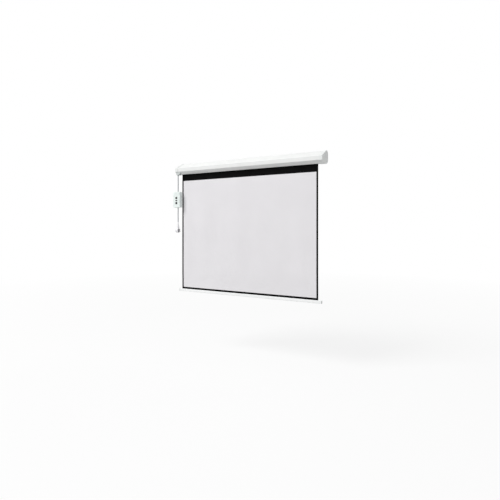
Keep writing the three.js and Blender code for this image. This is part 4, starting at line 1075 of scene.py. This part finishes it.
def build_plug():
    """The plug: a round body that blends into its neck, its contact face, two pins and the strain relief."""
    low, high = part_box("plug_body")
    face = high.x
    centre_z = low.z + plug_radius
    dome = []
    for k in range(2 * corner_steps + 1):
        angle = math.pi / 2 * k / (2 * corner_steps)
        dome.append((plug_radius * math.sin(angle), low.x + plug_dome_run * (1 - math.cos(angle))))
    rounded_face = eased([dome[-1], (plug_radius, face), (0, face)], plug_edge)[1:]
    body = turned("plug_shell", dome + rounded_face, "x", (0, cord_line.y, centre_z))
    neck_top = centre_z + plug_neck_height
    neck = [
        (0, centre_z), (plug_neck_bottom_radius, centre_z), (plug_neck_top_radius, neck_top), (0, neck_top),
    ]
    past_face = block("cutter", (face, low.y - overrun, low.z - overrun),
                      (face + plug_radius, high.y + overrun, neck_top + overrun))
    cut(joined(body, [turned("neck", neck, "z", cord_line)]), [past_face])
    softened(body, plug_blend, plug_blend_angle, plug_blend_steps)
    insert_low, insert_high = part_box("plug_insert")
    insert_outline = rectangle(insert_low.yz, insert_high.yz, insert_corner_radius)
    pocket = slab("cutter", grown(insert_outline, fit_gap), "x", (face - insert_depth, face + overrun))
    pins = {node: measured(node) for node in ("upper_plug_pin", "lower_plug_pin")}

    def pin_holes(start):
        span = (start, face + overrun)
        return [
            rod("cutter", radius + fit_gap, "x", span, (0, middle.y, middle.z))
            for _, _, middle, radius in pins.values()
        ]

    cut(body, [pocket, *pin_holes(face - pin_root - fit_gap)])
    settled(body, "case", "plug_plastic", "plug_body")
    insert = slab("plug_contact_face", insert_outline, "x", (insert_low.x, insert_high.x), (0, fit_gap))
    cut(insert, pin_holes(face - insert_depth - overrun))
    settled(insert, "case", "dark_insert", "plug_insert")
    for node, (pin_low, pin_high, middle, radius) in pins.items():
        start, end = pin_low.x, pin_high.x
        line = [(0, start), (radius, start), (radius, end - pin_tip_share * radius), (0, end)]
        centre = (0, middle.y, middle.z)
        pin = turned(f"{node}_turned", eased(line, pin_tip_edge), "x", centre, small_steps)
        settled(pin, "case", "nickel", node)
    places = [corner.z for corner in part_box("plug_relief")]
    radii = (relief_bottom_radius, relief_top_radius)
    profile = [(0, places[0]), *ribbed(radii, places, relief_rib_count, relief_rib_depth), (0, places[1])]
    relief = turned("plug_relief_ribbed", profile, "z", cord_line)
    settled(relief, "case", "plug_plastic", "plug_relief")


def dress_hidden_nodes():
    """Gives every node that still shows the finish of its slot in the record."""
    slots = {row["node"]: row["material_slot"] for row in frame["record"]["subparts"]}
    for node, piece in frame["nodes"].items():
        if piece.hide_render:
            continue
        for place in piece.material_slots:
            place.material = finishes[slots[node]]
        if not piece.material_slots:
            piece.data.materials.append(finishes[slots[node]])


def add_lamp(name, place, size, power):
    data = bpy.data.lights.new(name, "AREA")
    data.size = size
    data.energy = power
    lamp = added(name, data)
    lamp.location = place
    way = (cad_bounds[0] + cad_bounds[1]) / 2 - lamp.location
    lamp.rotation_euler = way.to_track_quat("-Z", "Y").to_euler()


def seen_ray(tree):
    """1 for a ray from the camera, off a glossy surface or through a clear one."""
    rays = add_node(tree, "ShaderNodeLightPath").outputs
    seen = rays["Is Camera Ray"]
    for kind in ("Is Glossy Ray", "Is Transmission Ray"):
        seen = add_node(tree, "ShaderNodeMath", {0: seen, 1: rays[kind]}, operation="MAXIMUM").outputs[0]
    return seen


def light_world():
    world = bpy.data.worlds.new("studio")
    world.use_nodes = True
    tree = world.node_tree
    background = tree.nodes["Background"]
    strength = add_range(tree, seen_ray(tree), ambient_strength, 1.0, (0.0, 1.0))
    background.inputs["Color"].default_value = (1, 1, 1, 1)
    tree.links.new(strength, background.inputs["Strength"])
    bpy.context.scene.world = world


def make_floor():
    """A pale floor that keeps the shadow near the object and fades into the white background further out."""
    low = cad_bounds[0].z - floor_drop
    floor = new_piece("floor", lifted(circle(floor_radius), "z", low), [tuple(range(turn_steps))])
    made = bpy.data.materials.new("pale_floor")
    made.use_nodes = True
    tree = made.node_tree
    tree.nodes.remove(tree.nodes["Principled BSDF"])
    out = tree.nodes["Material Output"]
    place = add_node(tree, "ShaderNodeTexCoord").outputs["Object"]
    distance = add_node(tree, "ShaderNodeVectorMath", {0: place, 1: (0, 0, low)}, operation="DISTANCE")
    fade_span = (floor_fade_start, floor_fade_end)
    fade = add_range(tree, distance.outputs["Value"], floor_shadow_share, 1.0, fade_span)
    lit = add_node(tree, "ShaderNodeBsdfDiffuse", {"Color": (*[floor_tone] * 3, 1)})
    plain = add_node(tree, "ShaderNodeEmission", {"Color": (1, 1, 1, 1)})
    seen = add_node(tree, "ShaderNodeMixShader", {0: fade, 1: lit.outputs[0], 2: plain.outputs[0]})
    hidden = add_node(tree, "ShaderNodeBsdfDiffuse", {"Color": (*[floor_bounce] * 3, 1)})
    top = add_node(tree, "ShaderNodeMixShader", {0: seen_ray(tree), 1: hidden.outputs[0], 2: seen.outputs[0]})
    clear = add_node(tree, "ShaderNodeBsdfTransparent")
    under = add_node(tree, "ShaderNodeNewGeometry").outputs["Backfacing"]
    both = add_node(tree, "ShaderNodeMixShader", {0: under, 1: top.outputs[0], 2: clear.outputs[0]})
    tree.links.new(both.outputs[0], out.inputs["Surface"])
    floor.data.materials.append(made)


finishes = make_finishes()
make_camera()
upper_cord = make_cord("upper_flex", upper_cord_route, "upper_cord", cord_tail)
lower_cord = make_cord("lower_flex", lower_cord_route, "lower_cord")
build_case()
build_end_cap(-1)
build_end_cap(1)
build_gland_lug()
build_roller()
build_bar()
build_screen()
build_glands()
build_switch_box()
build_plug()
dress_hidden_nodes()
add_lamp("key", key_place, key_size, key_power)
add_lamp("back", back_place, back_size, back_power)
light_world()
make_floor()
bpy.context.scene.view_settings.view_transform = "Standard"
